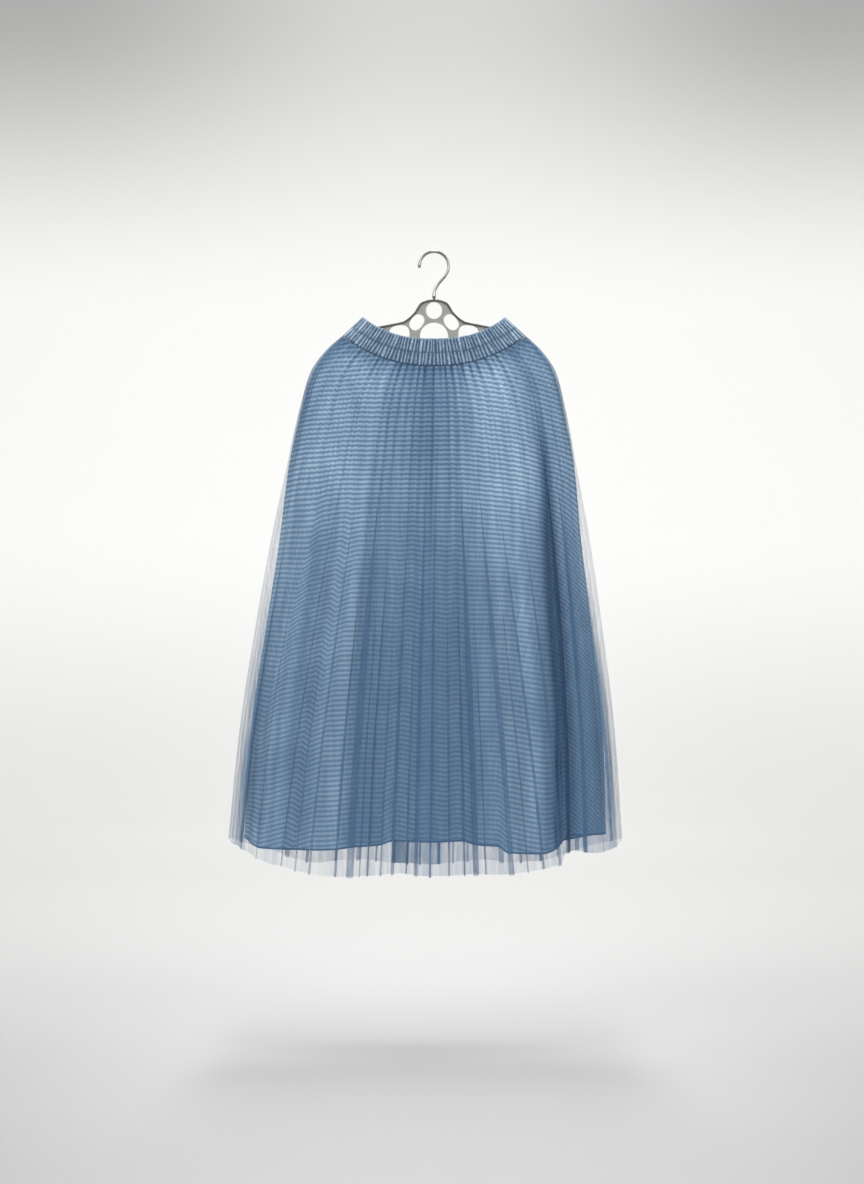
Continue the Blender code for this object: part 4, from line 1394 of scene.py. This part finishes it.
        # Painted shade along the foot and the stitched seam and painted light on the top edge and at the
        # band's sides, added to the light and shade painted on the gathers
        painted_edge_shade = self.foot_shade * (1 - ease(height, 0.0, 0.06))
        painted_edge_shade = painted_edge_shade + self.seam_shade * np.exp(-((height - seam) / 0.025) ** 2)
        painted_light_and_shade = ridge * (0.55 + 0.45 * fullness) - painted_edge_shade + self.top_light * ease(height, 0.90, 1.0)
        painted_light_and_shade = painted_light_and_shade + self.end_light * ease(np.abs(np.sin(bearing)), 0.70, 0.98) - 0.06
        along = turn * (self.foot_half_width + self.foot_half_depth) / 2 * self.flat_stretch
        up = np.concatenate([height, inner_height]) * self.flat_height
        uv = np.stack(np.broadcast_arrays(along, up), axis=-1)
        attributes = {"ridge": np.concatenate([np.clip(painted_light_and_shade, 0, 1.2), inner_ridge])}
        return grid_mesh("ruched_waistband", points, False, uv, attributes, closed=True)

    def stitch_path(self, height: float, outward: float) -> bpy.types.Object:
        """Draw one closed line of edges round the band.

        Args:
            height: 0 at the band's foot and 1 at its top edge.
            outward: Distance from the plain ring.

        Returns:
            The line as a mesh object.
        """
        count = self.stitch_steps
        bearing = np.linspace(0, 2 * math.pi, count, endpoint=False)
        points = self.place(bearing, np.full(count, height), np.full(count, outward))
        edges = [(start, (start + 1) % count) for start in range(count)]
        mesh = bpy.data.meshes.new("stitch_path")
        mesh.from_pydata(points, edges, [])
        return add_object("stitch_path", mesh)

    def sew(self, material: bpy.types.Material) -> bpy.types.Object:
        """Sew the row of stitches between the channels with a Geometry Nodes tree.

        Args:
            material: The thread.

        Returns:
            The stitches as one plain mesh object.
        """
        path = self.stitch_path(self.seam_height, -self.stitch_depth)
        tree = stitch_tree(material)
        sizes = {
            "Spacing": self.stitch_spacing,
            "Stitch Length": self.stitch_length,
            "Thread Radius": self.stitch_radius,
            "Seed": self.stitch_seed,
        }
        modifier = path.modifiers.new("stitches", "NODES")
        modifier.node_group = tree
        for item in tree.interface.items_tree:
            if item.item_type == "SOCKET" and item.in_out == "INPUT" and item.name in sizes:
                modifier[item.identifier] = sizes[item.name]
        depsgraph = bpy.context.evaluated_depsgraph_get()
        mesh = bpy.data.meshes.new_from_object(path.evaluated_get(depsgraph))
        mesh.name = "channel_stitches"
        bpy.data.objects.remove(path, do_unlink=True)
        return add_object("channel_stitches", mesh)

    def dress(self, band: bpy.types.Object, stitches: bpy.types.Object, thread: bpy.types.Material) -> None:
        """Args:
            band: The band.
            stitches: The row of stitches on it.
            thread: The thread's material.
        """
        finish_piece(band, RuchedCloth().material(), ["waistband"])
        finish_piece(stitches, thread)


def stitch_tree(material: bpy.types.Material) -> bpy.types.NodeTree:
    """Build the Geometry Nodes tree that lays stitches end to end along a line of edges.

    Args:
        material: The thread.

    Returns:
        The tree, with its spacing, stitch length, thread radius and seed as inputs.
    """
    tree = bpy.data.node_groups.new("lay_stitches", "GeometryNodeTree")
    tree.interface.new_socket("Geometry", in_out="INPUT", socket_type="NodeSocketGeometry")
    for label in ("Spacing", "Stitch Length", "Thread Radius"):
        tree.interface.new_socket(label, in_out="INPUT", socket_type="NodeSocketFloat")
    tree.interface.new_socket("Seed", in_out="INPUT", socket_type="NodeSocketInt")
    tree.interface.new_socket("Geometry", in_out="OUTPUT", socket_type="NodeSocketGeometry")

    node = NodeWriter(tree).add
    given = node("NodeGroupInput", {}).outputs
    line = node("GeometryNodeMeshToCurve", {0: given["Geometry"]}).outputs[0]
    along = {"Curve": line, "Length": given["Spacing"]}
    spread = node("GeometryNodeCurveToPoints", along, mode="LENGTH").outputs
    half = node("ShaderNodeMath", {0: given["Stitch Length"], 1: 0.5}, operation="MULTIPLY").outputs[0]
    radius = given["Thread Radius"]
    size = node("ShaderNodeCombineXYZ", {"X": radius, "Y": radius, "Z": half}).outputs[0]
    ball = node("GeometryNodeMeshUVSphere", {"Segments": 6, "Rings": 5}).outputs["Mesh"]
    stitch = node("GeometryNodeTransform", {"Geometry": ball, "Scale": size}).outputs[0]
    drawn = {2: 0.7, 3: 1.1, "Seed": given["Seed"]}
    uneven = node("FunctionNodeRandomValue", drawn, data_type="FLOAT").outputs[1]
    places = {"Points": spread["Points"], "Instance": stitch, "Rotation": spread["Rotation"], "Scale": uneven}
    laid = node("GeometryNodeInstanceOnPoints", places).outputs[0]
    row = node("GeometryNodeRealizeInstances", {0: laid}).outputs[0]
    painted = node("GeometryNodeSetMaterial", {"Geometry": row, "Material": material}).outputs[0]
    node("NodeGroupOutput", {0: painted})
    return tree


@dataclass
class Hanger:
    """The pierced hanger and its hook, which stay as the CAD has them."""

    # The plate's last number darkens its rim with painted shade
    plate: SatinMetal = SatinMetal("hanger_plate", srgb(190, 190, 184), 0.40, 0.70, 0.30)
    wire: SatinMetal = SatinMetal("hook_wire", srgb(150, 150, 148), 0.28, 1.0)

    def dress(self) -> None:
        """Give the CAD nodes their metal."""
        finishes = {"hanger_body": self.plate, "hanger_collar": self.plate, "hanger_hook": self.wire}
        for node, finish in finishes.items():
            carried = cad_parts[node]
            carried.data.materials.clear()
            carried.data.materials.append(finish.material())
            LOG.info("%s: %s", node, finish.name)


@dataclass
class Studio:
    """A pale backdrop that goes all round without an edge, soft lights and the camera."""

    floor_z: float = -1.275
    camera_at: tuple[float, float, float] = (-0.0032, -5.0, -0.5424)
    lens: float = 95.0
    sensor: float = 36.0
    floor_radius: float = 5.0
    sweep_radius: float = 1.8
    sweep_steps: int = 24
    top_z: float = 5.0
    spokes: int = 96
    paper_colour: tuple[float, float, float] = (0.915, 0.915, 0.906)
    air_light: float = 0.50
    clear_layers: int = 32
    softboxes: tuple[Softbox, ...] = as_rows(
        Softbox,
        ("top_softbox", (0.0, 0.45, 2.0), (0.0, -0.05, -1.0), (0.5, 4.8), 77.0),
        ("front_left_softbox", (-2.8, -4.2, 1.4), SKIRT_MIDDLE, (2.4, 2.4), 72.0),
        ("front_right_softbox", (2.8, -4.2, 1.0), SKIRT_MIDDLE, (2.4, 2.4), 64.0),
        ("wall_softbox", (0.0, 3.0, 3.4), (0.0, 6.6, 0.3), (2.5, 2.5), 128.0),
        ("back_softbox", (0.0, 4.6, 1.2), SKIRT_MIDDLE, (3.0, 2.0), 12.0),
    )

    def backdrop(self) -> None:
        """Turn the floor, the sweep and the wall round the middle in one curved sheet."""
        profile = [(0.5, self.floor_z), (self.floor_radius, self.floor_z)]
        for step in range(1, self.sweep_steps + 1):
            angle = QUARTER_TURN * step / self.sweep_steps
            radius = self.floor_radius + self.sweep_radius * math.sin(angle)
            profile.append((radius, self.floor_z + self.sweep_radius * (1 - math.cos(angle))))
        profile.append((self.floor_radius + self.sweep_radius, self.top_z))
        turns = [2 * math.pi * spoke / self.spokes for spoke in range(self.spokes)]
        vertices = []
        for radius, z in profile:
            vertices += [(radius * math.sin(turn), radius * math.cos(turn), z) for turn in turns]
        faces = [tuple(reversed(range(self.spokes)))]
        for ring in range(len(profile) - 1):
            for spoke in range(self.spokes):
                here, after = ring * self.spokes + spoke, ring * self.spokes + (spoke + 1) % self.spokes
                faces.append((here, after, after + self.spokes, here + self.spokes))
        mesh = bpy.data.meshes.new("backdrop")
        mesh.from_pydata(vertices, [], faces)
        mesh.shade_smooth()
        mesh.materials.append(self.paper())
        add_object("backdrop", mesh)

    def paper(self) -> bpy.types.Material:
        """Build the backdrop's paper, toned as the light falls off in the photograph."""
        sheet = NodeSheet("backdrop_paper")
        across, along, up = sheet.split(sheet.place())
        across = sheet.math("ABSOLUTE", across)
        across = sheet.math("MULTIPLY", across, sheet.reach(across, 2.0, 3.5, 1.0, 0.0))
        behind_camera = sheet.reach(along, -3.4, -1.4, 3.0, 0.0)
        near = sheet.math("ADD", along, behind_camera)
        back_again = sheet.math("MULTIPLY_ADD", along, -0.714, 4.47)
        far = sheet.math("MINIMUM", along, back_again)
        tone = self.fade(sheet, up, (0.45, 1.75), across, 1.5, (0.38, 0.22))
        for value, ends, edge, darker in (
            (up, (-0.30, -1.22), 1.2, (0.11, 0.06)),
            (far, (0.4, 2.4), 1.5, (0.215, -0.045)),
            (near, (2.4, 0.6), 0.9, (0.16, 0.02)),
            (near, (1.4, -0.6), 0.9, (0.0, 0.20)),
            (near, (-0.4, -1.2), 0.9, (0.05, 0.03)),
        ):
            tone = sheet.math("MULTIPLY", tone, self.fade(sheet, value, ends, across, edge, darker))
        return sheet.shade(Base_Color=sheet.dim(self.paper_colour, tone), Roughness=0.9)

    def fade(
        self,
        sheet: NodeSheet,
        value: object,
        ends: tuple[float, float],
        across: object,
        edge: float,
        darker: tuple[float, float],
    ) -> bpy.types.NodeSocket:
        """Darken the paper along one direction, and more so towards its sides.

        Args:
            sheet: The paper's material.
            value: The coordinate that the tone follows.
            ends: Where along it the darkening starts and where it is full.
            across: Distance from the middle.
            edge: Distance at which the sides are darkest.
            darker: How much is taken off in the middle, and how much more at the sides.

        Returns:
            The share of the paper's tone that is left.
        """
        amount = sheet.reach(across, 0.05, edge, darker[0], darker[0] + darker[1])
        low, high = min(ends), max(ends)
        grown = sheet.reach(value, low, high, float(ends[0] > ends[1]), float(ends[0] < ends[1]))
        return sheet.math("SUBTRACT", 1.0, sheet.math("MULTIPLY", grown, amount))

    def light(self, box: Softbox) -> None:
        """Hang one softbox and turn it to its aim."""
        lamp = bpy.data.lights.new(box.name, "AREA")
        lamp.shape = "RECTANGLE"
        lamp.size, lamp.size_y = box.size
        lamp.energy = box.power
        holder = add_object(box.name, lamp)
        holder.location = box.at
        holder.rotation_euler = lamp_turn(np.array(box.aim) - np.array(box.at))
        holder.visible_camera = False

    def build(self) -> None:
        """Set up the whole studio."""
        self.backdrop()
        for box in self.softboxes:
            self.light(box)
        world = bpy.data.worlds.new("studio_air")
        world.use_nodes = True
        air = world.node_tree.nodes["Background"].inputs
        air["Color"].default_value = (1.0, 1.0, 1.0, 1.0)
        air["Strength"].default_value = self.air_light
        bpy.context.scene.world = world
        bpy.context.scene.view_settings.view_transform = "Standard"
        bpy.context.scene.cycles.transparent_max_bounces = self.clear_layers
        self.camera()

    def camera(self) -> None:
        """Place the camera level with the middle of the frame, straight in front."""
        view = bpy.data.cameras.new("front_view")
        view.lens = self.lens
        view.sensor_width = self.sensor
        view.clip_end = 60.0
        holder = add_object("front_view", view)
        holder.location = self.camera_at
        holder.rotation_euler = (QUARTER_TURN, 0.0, 0.0)
        bpy.context.scene.camera = holder


def lamp_turn(direction: np.ndarray) -> tuple[float, float, float]:
    """Return the turn that points a lamp's own -Z along a direction."""
    x, y, z = direction / np.linalg.norm(direction)
    return (math.acos(-z), 0.0, math.atan2(x, -y) + math.pi if (x or y) else 0.0)


def main() -> None:
    """Build and dress every piece in order."""
    logging.basicConfig(level=logging.INFO, format="%(name)s: %(message)s")
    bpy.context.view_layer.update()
    Studio().build()
    lining = Lining()
    lining.dress({side: lining.build(side) for side in Side})
    net = NetOverskirt()
    net.dress({side: net.build(side) for side in Side})
    band = Waistband()
    thread = SewingThread().material()
    band.dress(band.build(), band.sew(thread), thread)
    Hanger().dress()


if __name__ == "__main__":
    main()
